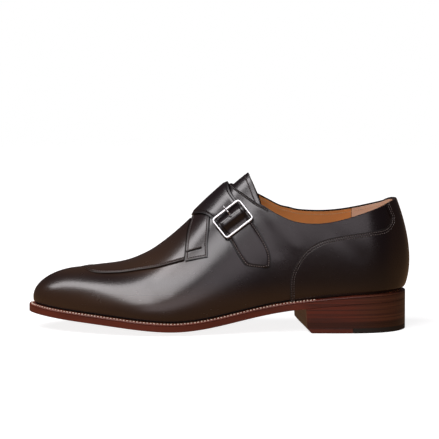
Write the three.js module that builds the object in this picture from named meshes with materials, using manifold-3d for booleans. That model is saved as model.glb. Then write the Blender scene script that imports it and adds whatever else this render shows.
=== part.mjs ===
// Left monk strap shoe in a men's size 42: an apron-front upper, a welted sole and a stacked heel.
// Millimetres. +X points from the heel to the toe, +Y to the wearer's left, the outer side, and +Z up.
// The origin is on the floor, under the middle of the heel. Tables measure "at" from the back of the heel.
import * as THREE from "three";
import { mergeVertices } from "three/addons/utils/BufferGeometryUtils.js";
import Module from "manifold-3d";

const wasm = await Module();
wasm.setup();

// Driving sizes
const BACK = -1.3; // back of the outsole, which the tables' places are measured from
const LENGTH = 302; // front of the outsole
const HEEL_MIDDLE = 38; // back of the heel to the origin
const HEEL_RADIUS = 32; // outline at the very back
const TOE_RADIUS = 19; // outline at the tip of the toe
const SOLE = 4.6;
const WELT = 2.4;
const INSOLE = 2.2; // what stands above the welt
const WALL = 2.2; // outside leather and lining together
const GAP = 0.3; // between pieces that touch

// One row for each section. base is the height of the outsole's underside, and lift how much its edges rise.
// outer and inner are the outsole's half widths, and margin is how far the welt stands out from the upper.
// Each rib of the upper runs from the welt to the ridge at crest, and the last columns shape the rib:
// it leaves the welt by bulge and rise, and meets the ridge from a distance of crown.
const SECTIONS = [
  { at: 0, base: 24.8, lift: 0, outer: 0, inner: 0, margin: 2.6, crest: 36,
    bulgeOut: 19, bulgeIn: 19, riseOut: 38, riseIn: 38, crownOut: 11.5, crownIn: 11.5 },
  { at: 20, base: 24.3, lift: 0, outer: 30, inner: 30, margin: 2.6, crest: 43,
    bulgeOut: 11, bulgeIn: 11, riseOut: 38, riseIn: 38, crownOut: 14.5, crownIn: 14.5 },
  { at: 45, base: 22.8, lift: 0.2, outer: 34.2, inner: 34.2, margin: 2.6, crest: 57,
    bulgeOut: 6.5, bulgeIn: 6.5, riseOut: 38, riseIn: 38, crownOut: 14.5, crownIn: 14.5 },
  { at: 78, base: 19.4, lift: 0.5, outer: 34, inner: 33.5, margin: 2.5, crest: 82,
    bulgeOut: 7, bulgeIn: 8.5, riseOut: 38, riseIn: 38, crownOut: 15, crownIn: 15 },
  { at: 105, base: 15.3, lift: 0.9, outer: 35, inner: 30.5, margin: 2.6, crest: 106,
    bulgeOut: 6, bulgeIn: 10, riseOut: 38, riseIn: 37, crownOut: 14.5, crownIn: 14 },
  { at: 130, base: 9.9, lift: 1.4, outer: 39.5, inner: 29, margin: 3, crest: 130,
    bulgeOut: 4.5, bulgeIn: 12, riseOut: 38, riseIn: 36, crownOut: 15, crownIn: 13.5 },
  { at: 155, base: 4, lift: 2.2, outer: 45, inner: 33, margin: 3.5, crest: 155,
    bulgeOut: 4, bulgeIn: 11.5, riseOut: 34, riseIn: 33, crownOut: 18, crownIn: 14 },
  { at: 180, base: -0.4, lift: 3.9, outer: 49.8, inner: 43, margin: 4, crest: 180,
    bulgeOut: 4.5, bulgeIn: 7.5, riseOut: 28, riseIn: 29, crownOut: 21, crownIn: 15 },
  { at: 200, base: 0.5, lift: 3.6, outer: 51.6, inner: 49.2, margin: 4.3, crest: 200,
    bulgeOut: 4.2, bulgeIn: 4.5, riseOut: 24, riseIn: 26, crownOut: 24, crownIn: 18 },
  { at: 225, base: 3.2, lift: 3.3, outer: 48.8, inner: 50, margin: 4.4, crest: 224,
    bulgeOut: 3.6, bulgeIn: 3.5, riseOut: 20, riseIn: 22, crownOut: 26, crownIn: 22 },
  { at: 250, base: 6.3, lift: 2.6, outer: 41.2, inner: 43.8, margin: 4.4, crest: 244,
    bulgeOut: 3, bulgeIn: 3, riseOut: 17.5, riseIn: 18, crownOut: 24, crownIn: 22 },
  { at: 275, base: 9.3, lift: 1.6, outer: 30, inner: 33, margin: 4.3, crest: 257,
    bulgeOut: 2.2, bulgeIn: 2.2, riseOut: 16.5, riseIn: 16.5, crownOut: 21, crownIn: 21 },
  { at: LENGTH, base: 13.4, lift: 0.5, outer: 0, inner: 0, margin: 4, crest: 262,
    bulgeOut: 6, bulgeIn: 6, riseOut: 15.5, riseIn: 15.5, crownOut: 20, crownIn: 20 },
];

// The ridge along the top of the last. Behind the throat it is the cone that the foot comes in through.
const RIDGE = [
  { at: 36, height: 150, side: 0 },
  { at: 60, height: 150, side: 0 },
  { at: 90, height: 144.5, side: -0.5 },
  { at: 112, height: 135.8, side: -1.5 },
  { at: 127, height: 127.3, side: -2.5 },
  { at: 143.7, height: 113.5, side: -3 },
  { at: 158.2, height: 100.3, side: -3.5 },
  { at: 172.7, height: 86, side: -4 },
  { at: 187.2, height: 73, side: -4.5 },
  { at: 206.5, height: 59.5, side: -4.5 },
  { at: 225.8, height: 52.2, side: -3 },
  { at: 245.1, height: 49.9, side: -1.2 },
  { at: 262, height: 49, side: 0 },
];

// A natural cubic spline through the points (xs, ys), carried on straight past its ends.
function spline(xs, ys) {
  const n = xs.length;
  const bend = new Array(n).fill(0);
  const work = new Array(n).fill(0);
  for (let i = 1; i < n - 1; i++) {
    const share = (xs[i] - xs[i - 1]) / (xs[i + 1] - xs[i - 1]);
    const p = share * bend[i - 1] + 2;
    const turn = (ys[i + 1] - ys[i]) / (xs[i + 1] - xs[i]) - (ys[i] - ys[i - 1]) / (xs[i] - xs[i - 1]);
    bend[i] = (share - 1) / p;
    work[i] = ((6 * turn) / (xs[i + 1] - xs[i - 1]) - share * work[i - 1]) / p;
  }
  for (let i = n - 2; i >= 0; i--) bend[i] = bend[i] * bend[i + 1] + work[i];
  return (x) => {
    let i = 1;
    while (i < n - 1 && x > xs[i]) i++;
    const width = xs[i] - xs[i - 1];
    const b = (x - xs[i - 1]) / width;
    const a = 1 - b;
    const cubic = ((a ** 3 - a) * bend[i - 1] + (b ** 3 - b) * bend[i]) * (width * width) / 6;
    return a * ys[i - 1] + b * ys[i] + (a < 0 || b < 0 ? 0 : cubic);
  };
}

const column = (rows, name) => spline(rows.map((row) => row.at), rows.map((row) => row[name]));
const sections = Object.fromEntries(Object.keys(SECTIONS[0]).map((name) => [name, column(SECTIONS, name)]));
const ridge = { height: column(RIDGE, "height"), side: column(RIDGE, "side") };

// Half width of an outline between start and end: round at both ends, the rows' widths less an inset between.
function halfWidth(side, start, end, inset) {
  const round = (at) => 2 * Math.sqrt(((at - start) / (end - start)) * (1 - (at - start) / (end - start)));
  const inner = SECTIONS.slice(1, -1);
  const tip = (radius, less) => Math.sqrt(((radius - less) * (end - start)) / 2);
  const full = spline(
    [start, ...inner.map((row) => row.at), end],
    [
      tip(HEEL_RADIUS, inset(start)),
      ...inner.map((row) => (row[side] - inset(row.at)) / round(row.at)),
      tip(TOE_RADIUS, inset(end)),
    ],
  );
  const turn = (at) => Math.acos(THREE.MathUtils.clamp(1 - (2 * (at - start)) / (end - start), -1, 1));
  return (at) => full(at) * Math.sin(turn(at));
}

// An outline inset from the outsole's edge: its ends, and its half width on each side.
function outline(inset) {
  const start = BACK + inset(0);
  const end = LENGTH - inset(LENGTH);
  return {
    start,
    end,
    outer: halfWidth("outer", start, end, inset),
    inner: halfWidth("inner", start, end, inset),
    // The point at an angle from 0 at the heel to PI at the toe, on the outer side (1) or the inner (-1)
    point(angle, side) {
      const at = start + ((end - start) * (1 - Math.cos(angle))) / 2;
      return [at, side * this[side > 0 ? "outer" : "inner"](at)];
    },
  };
}

const soleLine = outline(() => 0);
const feather = outline(sections.margin); // where the upper meets the welt

// Height of the sole's underside at a place, and the levels above it.
function underside(at, y) {
  const half = soleLine[y > 0 ? "outer" : "inner"](THREE.MathUtils.clamp(at, BACK + 0.5, LENGTH - 0.5));
  return sections.base(at) + sections.lift(at) * Math.min(1, Math.abs(y) / half) ** 2;
}
const WELT_FOOT = SOLE + GAP;
const WELT_TOP = WELT_FOOT + WELT;
const UPPER_FOOT = WELT_TOP + GAP;

// A point of the last: angle runs from the heel (0) to the toe (PI), and across from the inner welt (-1)
// over the ridge (0) to the outer welt (1).
function lastPoint(angle, across) {
  const side = across < 0 ? -1 : 1;
  const [at, y] = feather.point(angle, side);
  const lean = side * (1 - (1 - Math.sin(angle)) ** 3) / 2; // the two sides become one at the heel and toe
  const shaped = (name) => (
    sections[name + "Out"](at) * (0.5 + lean) + sections[name + "In"](at) * (0.5 - lean)
  );
  const foot = new THREE.Vector3(at, y, underside(at, y) + UPPER_FOOT);
  const crest = sections.crest(at);
  const top = new THREE.Vector3(crest, ridge.side(crest), ridge.height(crest));
  const run = new THREE.Vector2(foot.x - top.x, foot.y - top.y).normalize();
  const step = 0.5;
  const slope = (name) => (ridge[name](crest + step) - ridge[name](crest - step)) / (2 * step);
  const along = new THREE.Vector3(1, slope("side"), slope("height")).normalize();
  const low = foot.clone().add(
    new THREE.Vector3(run.x, run.y, 0).multiplyScalar(shaped("bulge")),
  );
  low.z += shaped("rise");
  const high = top.clone().addScaledVector(along, run.x * shaped("crown"));
  high.y += run.y * shaped("crown");
  const t = 1 - Math.abs(across);
  const s = 1 - t;
  return foot.multiplyScalar(s ** 3).addScaledVector(low, 3 * s * s * t)
    .addScaledVector(high, 3 * s * t * t).addScaledVector(top, t ** 3);
}

// The outward normal there. Both sides share one on the ridge and at the heel and toe.
function lastNormal(angle, across) {
  const step = 1e-3;
  const from = Math.max(-1, across - step);
  const to = Math.min(1, across + step);
  if (angle < step || angle > Math.PI - step) {
    const side = across < 0 ? -1 : 1;
    const level = Math.abs(across);
    const up = lastPoint(angle, side * Math.max(0, level - step));
    up.sub(lastPoint(angle, side * Math.min(1, level + step)));
    const way = angle < step ? -1 : 1;
    return new THREE.Vector3(way * up.z, 0, -way * up.x).normalize();
  }
  const oneSided = (a, b) => {
    const along = lastPoint(angle + step, (a + b) / 2).sub(lastPoint(angle - step, (a + b) / 2));
    return along.cross(lastPoint(angle, b).sub(lastPoint(angle, a))).normalize();
  };
  if (Math.abs(across) > step) return oneSided(from, to);
  return oneSided(-step, -step / 100).add(oneSided(step / 100, step)).normalize();
}

const offsetPoint = (angle, across, offset) => (
  lastPoint(angle, across).addScaledVector(lastNormal(angle, across), offset)
);
const angleAt = (at) => Math.acos(1 - (2 * (at - feather.start)) / (feather.end - feather.start));

// A solid from points in "at" coordinates and the faces between them.
function solidOf(geometry) {
  const bare = geometry.index ? geometry.toNonIndexed() : geometry;
  const position = new THREE.BufferGeometry().setAttribute("position", bare.getAttribute("position"));
  const merged = mergeVertices(position, 1e-4);
  return new wasm.Manifold(new wasm.Mesh({
    numProp: 3,
    vertProperties: new Float32Array(merged.attributes.position.array),
    triVerts: new Uint32Array(merged.index.array),
  }));
}

function solidOfTriangles(corners) {
  const geometry = new THREE.BufferGeometry();
  geometry.setAttribute("position", new THREE.Float32BufferAttribute(corners.flatMap((c) => c.toArray()), 3));
  return solidOf(geometry);
}

// Two triangles across four corners, left out where an edge has closed to nothing.
function quad(a, b, c, d) {
  const same = (p, q) => p.distanceTo(q) < 1e-3;
  const triangle = (p, q, r) => (same(p, q) || same(q, r) || same(r, p) ? [] : [p, q, r]);
  return [...triangle(a, b, c), ...triangle(a, c, d)];
}

// A closed block: point(i, j, k) over a grid of columns by rows, its underside at k = 0 and its top at k = 1
function block(columns, rows, point) {
  const line = (i, k) => Array.from({ length: rows + 1 }, (_, j) => point(i, j, k));
  const [low, high] = [0, 1].map((k) => Array.from({ length: columns + 1 }, (_, i) => line(i, k)));
  const corners = [];
  for (let i = 0; i < columns; i++) {
    for (let j = 0; j < rows; j++) {
      corners.push(...quad(high[i][j], high[i + 1][j], high[i + 1][j + 1], high[i][j + 1]));
      corners.push(...quad(low[i][j], low[i][j + 1], low[i + 1][j + 1], low[i + 1][j]));
    }
    corners.push(...quad(low[i][0], low[i + 1][0], high[i + 1][0], high[i][0]));
    corners.push(...quad(high[i][rows], high[i + 1][rows], low[i + 1][rows], low[i][rows]));
  }
  for (let j = 0; j < rows; j++) {
    corners.push(...quad(low[0][j + 1], low[0][j], high[0][j], high[0][j + 1]));
    corners.push(...quad(low[columns][j], low[columns][j + 1], high[columns][j + 1], high[columns][j]));
  }
  return solidOfTriangles(corners);
}

// The last grown outward by an offset, as a solid. All of them share one set of ribs and levels, so that two
// of them stay the same distance apart. A skirt carries one straight down past the welt.
const RIBS = 34;
const LEVELS = [0, 0.07, 0.16, 0.26, 0.37, 0.48, 0.59, 0.7, 0.81, 0.91, 1];

function form(offset, skirt) {
  const sides = [1, -1].map((side) => (
    Array.from({ length: RIBS + 1 }, (_, i) => {
      const rib = LEVELS.map((level) => offsetPoint((Math.PI * i) / RIBS, side * (1 - level), offset));
      if (skirt > 0) rib.unshift(rib[0].clone().add(new THREE.Vector3(0, 0, -skirt)));
      return rib;
    })
  ));
  const [outer, inner] = sides;
  const corners = [];
  for (let i = 0; i < RIBS; i++) {
    for (let j = 0; j < outer[i].length - 1; j++) {
      corners.push(...quad(outer[i][j], outer[i][j + 1], outer[i + 1][j + 1], outer[i + 1][j]));
      corners.push(...quad(inner[i][j], inner[i + 1][j], inner[i + 1][j + 1], inner[i][j + 1]));
    }
    corners.push(...quad(outer[i][0], outer[i + 1][0], inner[i + 1][0], inner[i][0]));
  }
  return solidOfTriangles(corners);
}

// A sheet between two offsets of the last
const sheet = (low, high) => form(high, 2).subtract(form(low, 6));

// Everything below a height over the underside of the sole
const LEVEL_STEPS = 20;
const LEVEL_LINES = [-80, -50, -32, -14, 14, 32, 50, 80];

function below(height) {
  const margin = 14;
  return block(LEVEL_STEPS, LEVEL_LINES.length - 1, (i, j, k) => {
    const at = -margin + ((LENGTH + 2 * margin) * i) / LEVEL_STEPS;
    const y = LEVEL_LINES[j];
    return new THREE.Vector3(at, y, k ? underside(at, y) + height : -40);
  });
}

// A flat outline pushed out across the shoe (its points are [at, z]) or straight up (its points are [at, y]).
function pushed(points, from, to, axis) {
  const shape = new THREE.Shape(points.map(([a, b]) => new THREE.Vector2(a, b)));
  const geometry = new THREE.ExtrudeGeometry(shape, { depth: to - from, bevelEnabled: false, steps: 1 });
  geometry.translate(0, 0, axis === "y" ? -to : from);
  if (axis === "y") geometry.rotateX(Math.PI / 2);
  return solidOf(geometry);
}

const curve = (points, count) => (
  new THREE.SplineCurve(points.map(([a, b]) => new THREE.Vector2(a, b))).getPoints(count)
    .map((p) => [p.x, p.y])
);

// The outline of a sole piece seen from above, anticlockwise
function plan(line, count) {
  const angles = Array.from({ length: count + 1 }, (_, i) => (Math.PI * i) / count);
  const inner = angles.map((angle) => line.point(angle, -1));
  const outer = angles.slice(1, -1).reverse().map((angle) => line.point(angle, 1));
  return [...inner, ...outer];
}

// The upper's openings and seams, seen from the side as [at, height]
const COLLAR_OUTER = [
  [-12, 106], [8.6, 104.3], [16.5, 101.7], [26.3, 98.1], [42.7, 92.7], [59.2, 88.7], [73.1, 87.5],
  [88.1, 89.1], [102, 94.6], [113.5, 101.2], [118, 102.6], [127.5, 108.2], [137.6, 114], [147, 119.5],
  [153, 135], [150, 170],
];
const COLLAR_INNER = [
  [-12, 106], [8.6, 104.3], [18.1, 100.3], [34.5, 96], [51, 93], [67.4, 91.8], [83.8, 92.6],
  [92, 94.6], [100.2, 96.8], [110, 102.3], [118.7, 107.4], [128, 112.4], [137.6, 116], [147, 121],
  [153, 135], [150, 170],
];
const APRON_EDGE = [
  [262, 56], [260.8, 51], [258.6, 49.3], [255.3, 47.9], [247.3, 46.2], [234, 46.2], [220.7, 47.6],
  [198.2, 52], [176.7, 58.1],
];
const APRON_BACK = [[176.3, 61], [175.1, 71.4], [173.6, 80], [170.5, 89.9], [169.9, 97], [169.9, 120]];
const STRIP_EDGE = [
  [156, 125], [156.2, 95], [156.6, 88.1], [157, 82.1], [158.1, 72.3], [157.8, 65.1], [158, 61], [175.6, 57.4],
  [175.5, 60.9], [174.3, 71.4], [172.8, 80], [169.6, 89.9], [169, 97], [169, 125],
];
const COUNTER_EDGE = [
  [92.2, 10], [92.2, 29.7], [91.8, 44.6], [87.7, 55.3], [79.5, 66.7], [67.1, 74.1], [50.7, 77.9],
  [26.1, 81.4], [17.9, 82.6], [13.2, 86.1], [11.8, 90.7], [13.2, 94.8], [15.5, 100.3], [16.5, 106],
];

// The strap, from its seam on the inner side over the instep to its tail on the outer side: one row for each
// place across, with the two edges there and how far it stands off the quarter.
const STRAP = [
  { across: -0.7, rear: 137, front: 141, lift: 0.3 },
  { across: -0.69, rear: 133.5, front: 146, lift: 0.3 },
  { across: -0.66, rear: 131, front: 150, lift: 0.3 },
  { across: -0.6, rear: 131, front: 153, lift: 0.5 },
  { across: -0.5, rear: 132.5, front: 157, lift: 1 },
  { across: -0.35, rear: 136, front: 161.5, lift: 1.5 },
  { across: -0.15, rear: 139.5, front: 166.5, lift: 1.85 },
  { across: 0, rear: 140.8, front: 167.3, lift: 1.9 },
  { across: 0.12, rear: 140.3, front: 164.6, lift: 1.9 },
  { across: 0.2, rear: 139.2, front: 160.5, lift: 1.8 },
  { across: 0.336, rear: 133.8, front: 153.1, lift: 1.55 },
  { across: 0.42, rear: 128.8, front: 148.4, lift: 0.9 },
  { across: 0.52, rear: 121.2, front: 142.3, lift: 0.5 },
  { across: 0.6, rear: 114.8, front: 137.4, lift: 0.4 },
  { across: 0.66, rear: 110.5, front: 133.6, lift: 0.35 },
  { across: 0.71, rear: 108, front: 129.8, lift: 0.3 },
  { across: 0.735, rear: 107.6, front: 126.4, lift: 0.3 },
  { across: 0.755, rear: 107.8, front: 119.5, lift: 0.3 },
  { across: 0.775, rear: 108.6, front: 111, lift: 0.3 },
];
const STRAP_THICK = 1.8;
const BUCKLE = {
  across: 0.43, // place along the strap
  long: 28.5, // across the strap
  short: 21.4,
  down: 1.1, // how much further the frame reaches below the bar than above it
  rail: 1.9,
  thick: 1.8,
  lean: 0.05, // slope of the frame towards the strap's tail
  height: 4.4, // middle of the frame above the quarter
  barHeight: 2.2,
  barRadius: 0.75,
  eyeRadius: 1.7,
};

const strapRear = spline(STRAP.map((row) => row.across), STRAP.map((row) => row.rear));
const strapFront = spline(STRAP.map((row) => row.across), STRAP.map((row) => row.front));
const strapLift = spline(STRAP.map((row) => row.across), STRAP.map((row) => row.lift));

// The buckle's own frame: W across the strap towards the toe, D down the strap and N off the shoe
function buckleBasis() {
  const middle = (across) => (
    lastPoint(angleAt((strapRear(across) + strapFront(across)) / 2), across)
  );
  const centre = middle(BUCKLE.across);
  const down = middle(BUCKLE.across + 0.06).sub(middle(BUCKLE.across - 0.06)).normalize();
  const off = lastNormal(angleAt((strapRear(BUCKLE.across) + strapFront(BUCKLE.across)) / 2), BUCKLE.across);
  off.addScaledVector(down, BUCKLE.lean - off.dot(down)).normalize();
  const across = down.clone().cross(off).normalize();
  return { centre, W: across, D: off.clone().cross(across), N: off };
}
const buckle = buckleBasis();

function strapPoint(across, share, high) {
  const at = THREE.MathUtils.lerp(strapRear(across), strapFront(across), share);
  const angle = angleAt(at);
  const place = lastPoint(angle, across);
  const normal = lastNormal(angle, across);
  const d = place.clone().sub(buckle.centre).dot(buckle.D);
  const bar = BUCKLE.barHeight + BUCKLE.eyeRadius + GAP - strapLift(across);
  const hump = bar * Math.exp(-(Math.abs(d / 4.3) ** 2.6)) * (across > 0.1 ? 1 : 0);
  return place.addScaledVector(normal, strapLift(across) + hump + (high ? STRAP_THICK : 0));
}

const STRAP_ROWS = [
  ...Array.from({ length: 12 }, (_, i) => -0.7 + (0.7 * i) / 12),
  ...Array.from({ length: 27 }, (_, i) => (0.775 * i) / 26),
];
const STRAP_COLUMNS = 4;

function onBuckle(geometry) {
  const place = new THREE.Matrix4().makeBasis(buckle.W, buckle.D, buckle.N).setPosition(buckle.centre);
  return solidOf(geometry.applyMatrix4(place));
}

function roundedRectangle(target, long, short, radius) {
  const [x, y] = [long / 2, short / 2];
  target.moveTo(-x + radius, -y);
  target.lineTo(x - radius, -y);
  target.absarc(x - radius, -y + radius, radius, -Math.PI / 2, 0, false);
  target.lineTo(x, y - radius);
  target.absarc(x - radius, y - radius, radius, 0, Math.PI / 2, false);
  target.lineTo(-x + radius, y);
  target.absarc(-x + radius, y - radius, radius, Math.PI / 2, Math.PI, false);
  target.lineTo(-x, -y + radius);
  target.absarc(-x + radius, -y + radius, radius, Math.PI, Math.PI * 1.5, false);
  return target;
}

function makeFrame() {
  const bevel = 0.5;
  const { long, short, rail, thick } = BUCKLE;
  const shape = roundedRectangle(new THREE.Shape(), long - 2 * bevel, short - 2 * bevel, 2.2);
  const less = 2 * (rail - bevel);
  shape.holes.push(roundedRectangle(new THREE.Path(), long - less, short - less, 1.6));
  const ring = new THREE.ExtrudeGeometry(shape, {
    depth: thick - 2 * bevel, bevelThickness: bevel, bevelSize: bevel, bevelSegments: 1, curveSegments: 4,
  });
  ring.translate(0, BUCKLE.down, BUCKLE.height - thick / 2 + bevel);
  const bar = new THREE.CylinderGeometry(BUCKLE.barRadius, BUCKLE.barRadius, long - 1.4, 10);
  bar.rotateZ(Math.PI / 2);
  bar.translate(0, 0, BUCKLE.barHeight);
  const legs = [-1, 1].map((side) => {
    const leg = new THREE.BoxGeometry(rail - 0.5, 2.2, BUCKLE.height - BUCKLE.barHeight);
    return leg.translate(side * (long / 2 - rail / 2), 0, (BUCKLE.height + BUCKLE.barHeight) / 2);
  });
  return onBuckle(ring).add(onBuckle(bar)).add(onBuckle(legs[0])).add(onBuckle(legs[1]));
}

// The prong's side outline, from the eye round the bar out through the strap and over the frame: [down, off]
const PRONG = [[-0.8, 3], [-3.2, 4.6], [-5.4, 5.8], [-8.2, 6.6], [-11.4, 6.5]];

function ribbon(points, half, width) {
  const path = curve(points, 10).map(([a, b]) => new THREE.Vector2(a, b));
  const normalAt = (i) => {
    const along = path[Math.min(i + 1, path.length - 1)].clone().sub(path[Math.max(i - 1, 0)]).normalize();
    return new THREE.Vector2(-along.y, along.x);
  };
  const one = path.map((p, i) => p.clone().addScaledVector(normalAt(i), half));
  const other = path.map((p, i) => p.clone().addScaledVector(normalAt(i), -half)).reverse();
  return acrossBuckle(new THREE.Shape([...one, ...other]), width);
}

// A side outline given as [down, off], made as wide as the prong and stood on the buckle
function acrossBuckle(shape, width) {
  const geometry = new THREE.ExtrudeGeometry(shape, { depth: width, bevelEnabled: false, curveSegments: 8 });
  geometry.translate(0, 0, -width / 2);
  // Shape x runs down the strap, shape y off the shoe, and the depth across
  geometry.applyMatrix4(new THREE.Matrix4().set(0, 0, 1, 0, 1, 0, 0, 0, 0, 1, 0, 0, 0, 0, 0, 1));
  return onBuckle(geometry.translate(-0.6, 0, 0));
}

function disc(radius) {
  const shape = new THREE.Shape();
  shape.absarc(0, BUCKLE.barHeight, radius, 0, 2 * Math.PI, false);
  return shape;
}

const PRONG_WIDE = 1.7;
const prong = ribbon(PRONG, 0.75, PRONG_WIDE)
  .add(acrossBuckle(disc(BUCKLE.eyeRadius), PRONG_WIDE))
  .subtract(acrossBuckle(disc(BUCKLE.barRadius + 0.25), PRONG_WIDE + 1));
const prongHole = ribbon([[1, 2], ...PRONG.slice(0, 4), [-12, 7]], 1.1, PRONG_WIDE + 0.7)
  .add(acrossBuckle(disc(BUCKLE.eyeRadius + GAP), PRONG_WIDE + 0.7));
const frame = makeFrame();

// The upper: outside leather and lining as one wall, open at the collar and underneath
const soleBlock = below(UPPER_FOOT);
const collarCut = (() => {
  const planes = [
    [-80, COLLAR_INNER], [-22, COLLAR_INNER], [22, COLLAR_OUTER], [80, COLLAR_OUTER],
  ];
  const count = 30;
  const close = (points) => [...curve(points, count), [-12, 170]];
  const rings = planes.map(([y, points]) => close(points).map(([at, z]) => new THREE.Vector3(at, y, z)));
  const corners = [];
  const n = rings[0].length;
  for (let k = 0; k < rings.length - 1; k++) {
    for (let i = 0; i < n; i++) {
      const j = (i + 1) % n;
      corners.push(...quad(rings[k][i], rings[k + 1][i], rings[k + 1][j], rings[k][j]));
    }
  }
  for (const [ring, way] of [[rings[0], 1], [rings[rings.length - 1], -1]]) {
    const flat = ring.map((p) => new THREE.Vector2(p.x, p.z));
    for (const face of THREE.ShapeUtils.triangulateShape(flat, [])) {
      const [a, b, c] = face.map((i) => ring[i]);
      corners.push(...(way > 0 ? [a, b, c] : [a, c, b]));
    }
  }
  return solidOfTriangles(corners);
})();

const upper = sheet(-WALL, 0).subtract(soleBlock).subtract(collarCut);

const OVERLAY = 0.9;
const overSheet = sheet(GAP, GAP + OVERLAY);
const apronShape = pushed([...curve(APRON_EDGE, 32), ...curve(APRON_BACK, 8)], -70, 70, "y");
const apron = overSheet.intersect(apronShape);
const strip = overSheet.intersect(pushed(STRIP_EDGE, -70, 70, "y"));
const counterShape = pushed([[-20, 10], ...curve(COUNTER_EDGE, 34), [-20, 108]], -70, 70, "y");
const counter = overSheet.intersect(counterShape).subtract(soleBlock).subtract(collarCut);

// The tongue runs up under the quarters. Its end is cut across the ridge.
const TONGUE_EDGE = [
  [164, 70], [164, 140], [140, 140], [128.6, 131], [126.6, 126.5], [124.9, 123.2], [121.5, 116], [119, 110],
  [117, 105.5], [114.5, 97], [113, 88], [125, 83], [145, 78],
];
const tongueSheet = sheet(-WALL - GAP - 2, -WALL - GAP);
const tongue = tongueSheet.intersect(pushed(TONGUE_EDGE, -70, 70, "y"));

const strap = block(STRAP_COLUMNS, STRAP_ROWS.length - 1, (i, j, k) => (
  strapPoint(STRAP_ROWS[j], i / STRAP_COLUMNS, k)
)).subtract(prongHole);

// The sole: each layer is its outline pushed up through all, cut between two levels
const layer = (line, low, high) => (
  pushed(plan(line, 32), -20, 60, "z").intersect(below(high)).subtract(below(low))
);
const groundCut = solidOf(new THREE.BoxGeometry(400, 200, 60).translate(150, 0, -30));
const outsole = layer(soleLine, 0, SOLE).subtract(groundCut);
const welt = layer(soleLine, WELT_FOOT, WELT_TOP).subtract(form(-WALL, 6));
const insole = layer(soleLine, WELT_FOOT, WELT_TOP + INSOLE).intersect(form(-WALL - GAP, 6));

// The heel: flat lifts from the ground up, the lowest in leather with rubber behind
const BREAST = { top: 79.5, bottom: 78.3, corner: 75 };
const BREAST_SLANT = 0.13; // the inner side reaches further forward
const TOP_PIECE = 4;
const RUBBER_FRONT = 42;
const LIFT_TOPS = [9, 14, 19, 40];
const heelBody = (() => {
  const side = new THREE.ExtrudeGeometry(new THREE.Shape([
    [-20, 0], [BREAST.corner, 0], [BREAST.bottom, 3], [BREAST.top, 22], [BREAST.top, 40], [-20, 40],
  ].map(([at, z]) => new THREE.Vector2(at, z))), { depth: 140, bevelEnabled: false });
  side.translate(34 * BREAST_SLANT, 0, -70);
  side.applyMatrix4(new THREE.Matrix4().makeShear(0, 0, 0, 0, BREAST_SLANT, 0));
  side.rotateX(Math.PI / 2);
  return pushed(plan(soleLine, 32), 0, 40, "z").intersect(solidOf(side)).subtract(
    below(80).subtract(below(-GAP)),
  );
})();
const slab = (low, high, from, to) => (
  heelBody.intersect(solidOf(new THREE.BoxGeometry(to - from, 140, high - low)
    .translate((from + to) / 2, 0, (low + high) / 2)))
);

const named = [];

// The largest body of a solid as a named mesh, moved so that the origin is under the middle of the heel
function add(name, solid, color, roughness, metalness) {
  const body = solid.decompose().sort((a, b) => b.volume() - a.volume())[0];
  const mesh = body.getMesh();
  const geometry = new THREE.BufferGeometry();
  geometry.setAttribute("position", new THREE.BufferAttribute(Float32Array.from(mesh.vertProperties), 3));
  geometry.setIndex(Array.from(mesh.triVerts));
  geometry.translate(-HEEL_MIDDLE, 0, 0);
  const flat = geometry.toNonIndexed();
  flat.computeVertexNormals();
  const finish = new THREE.MeshStandardMaterial({ color, roughness, metalness: metalness ?? 0 });
  const piece = new THREE.Mesh(flat, finish);
  piece.name = name;
  named.push(piece);
}

add("upper", upper, "#2e2123", 0.35);
add("apron", apron, "#332426", 0.32);
add("heel_counter", counter, "#332426", 0.32);
add("saddle_strip", strip, "#332426", 0.35);
add("tongue", tongue, "#2b1f20", 0.4);
add("strap", strap, "#352628", 0.35);
add("buckle_frame", frame, "#c9ccd0", 0.2, 1);
add("buckle_prong", prong, "#c9ccd0", 0.2, 1);
add("insole", insole, "#b98a5a", 0.7);
add("welt", welt, "#5a2a20", 0.5);
add("outsole", outsole, "#6b3326", 0.5);
add("top_piece_rubber", slab(0, TOP_PIECE, -10, RUBBER_FRONT), "#1b1a1a", 0.8);
add("top_piece_leather", slab(0, TOP_PIECE, RUBBER_FRONT, 100), "#7a3a2a", 0.5);
LIFT_TOPS.forEach((top, i) => {
  add("heel_lift_" + (i + 1), slab(i ? LIFT_TOPS[i - 1] : TOP_PIECE, top, -10, 100), "#5f2d22", 0.5);
});

const shoe = new THREE.Group();
shoe.name = "monk_strap_shoe";
shoe.add(...named);
export default shoe;
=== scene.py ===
"""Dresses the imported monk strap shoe: leather upper, lining, strap and buckle, welted sole and stacked heel.

Everything is in the row's frame, in metres. The tables are in millimetres. Their "at" is measured from the
heel's back.
"""
import math
from bisect import bisect_left
from functools import lru_cache

import bmesh
import bpy
from bpy.props import FloatProperty, FloatVectorProperty, PointerProperty
from mathutils import Matrix, Vector, kdtree


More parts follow.
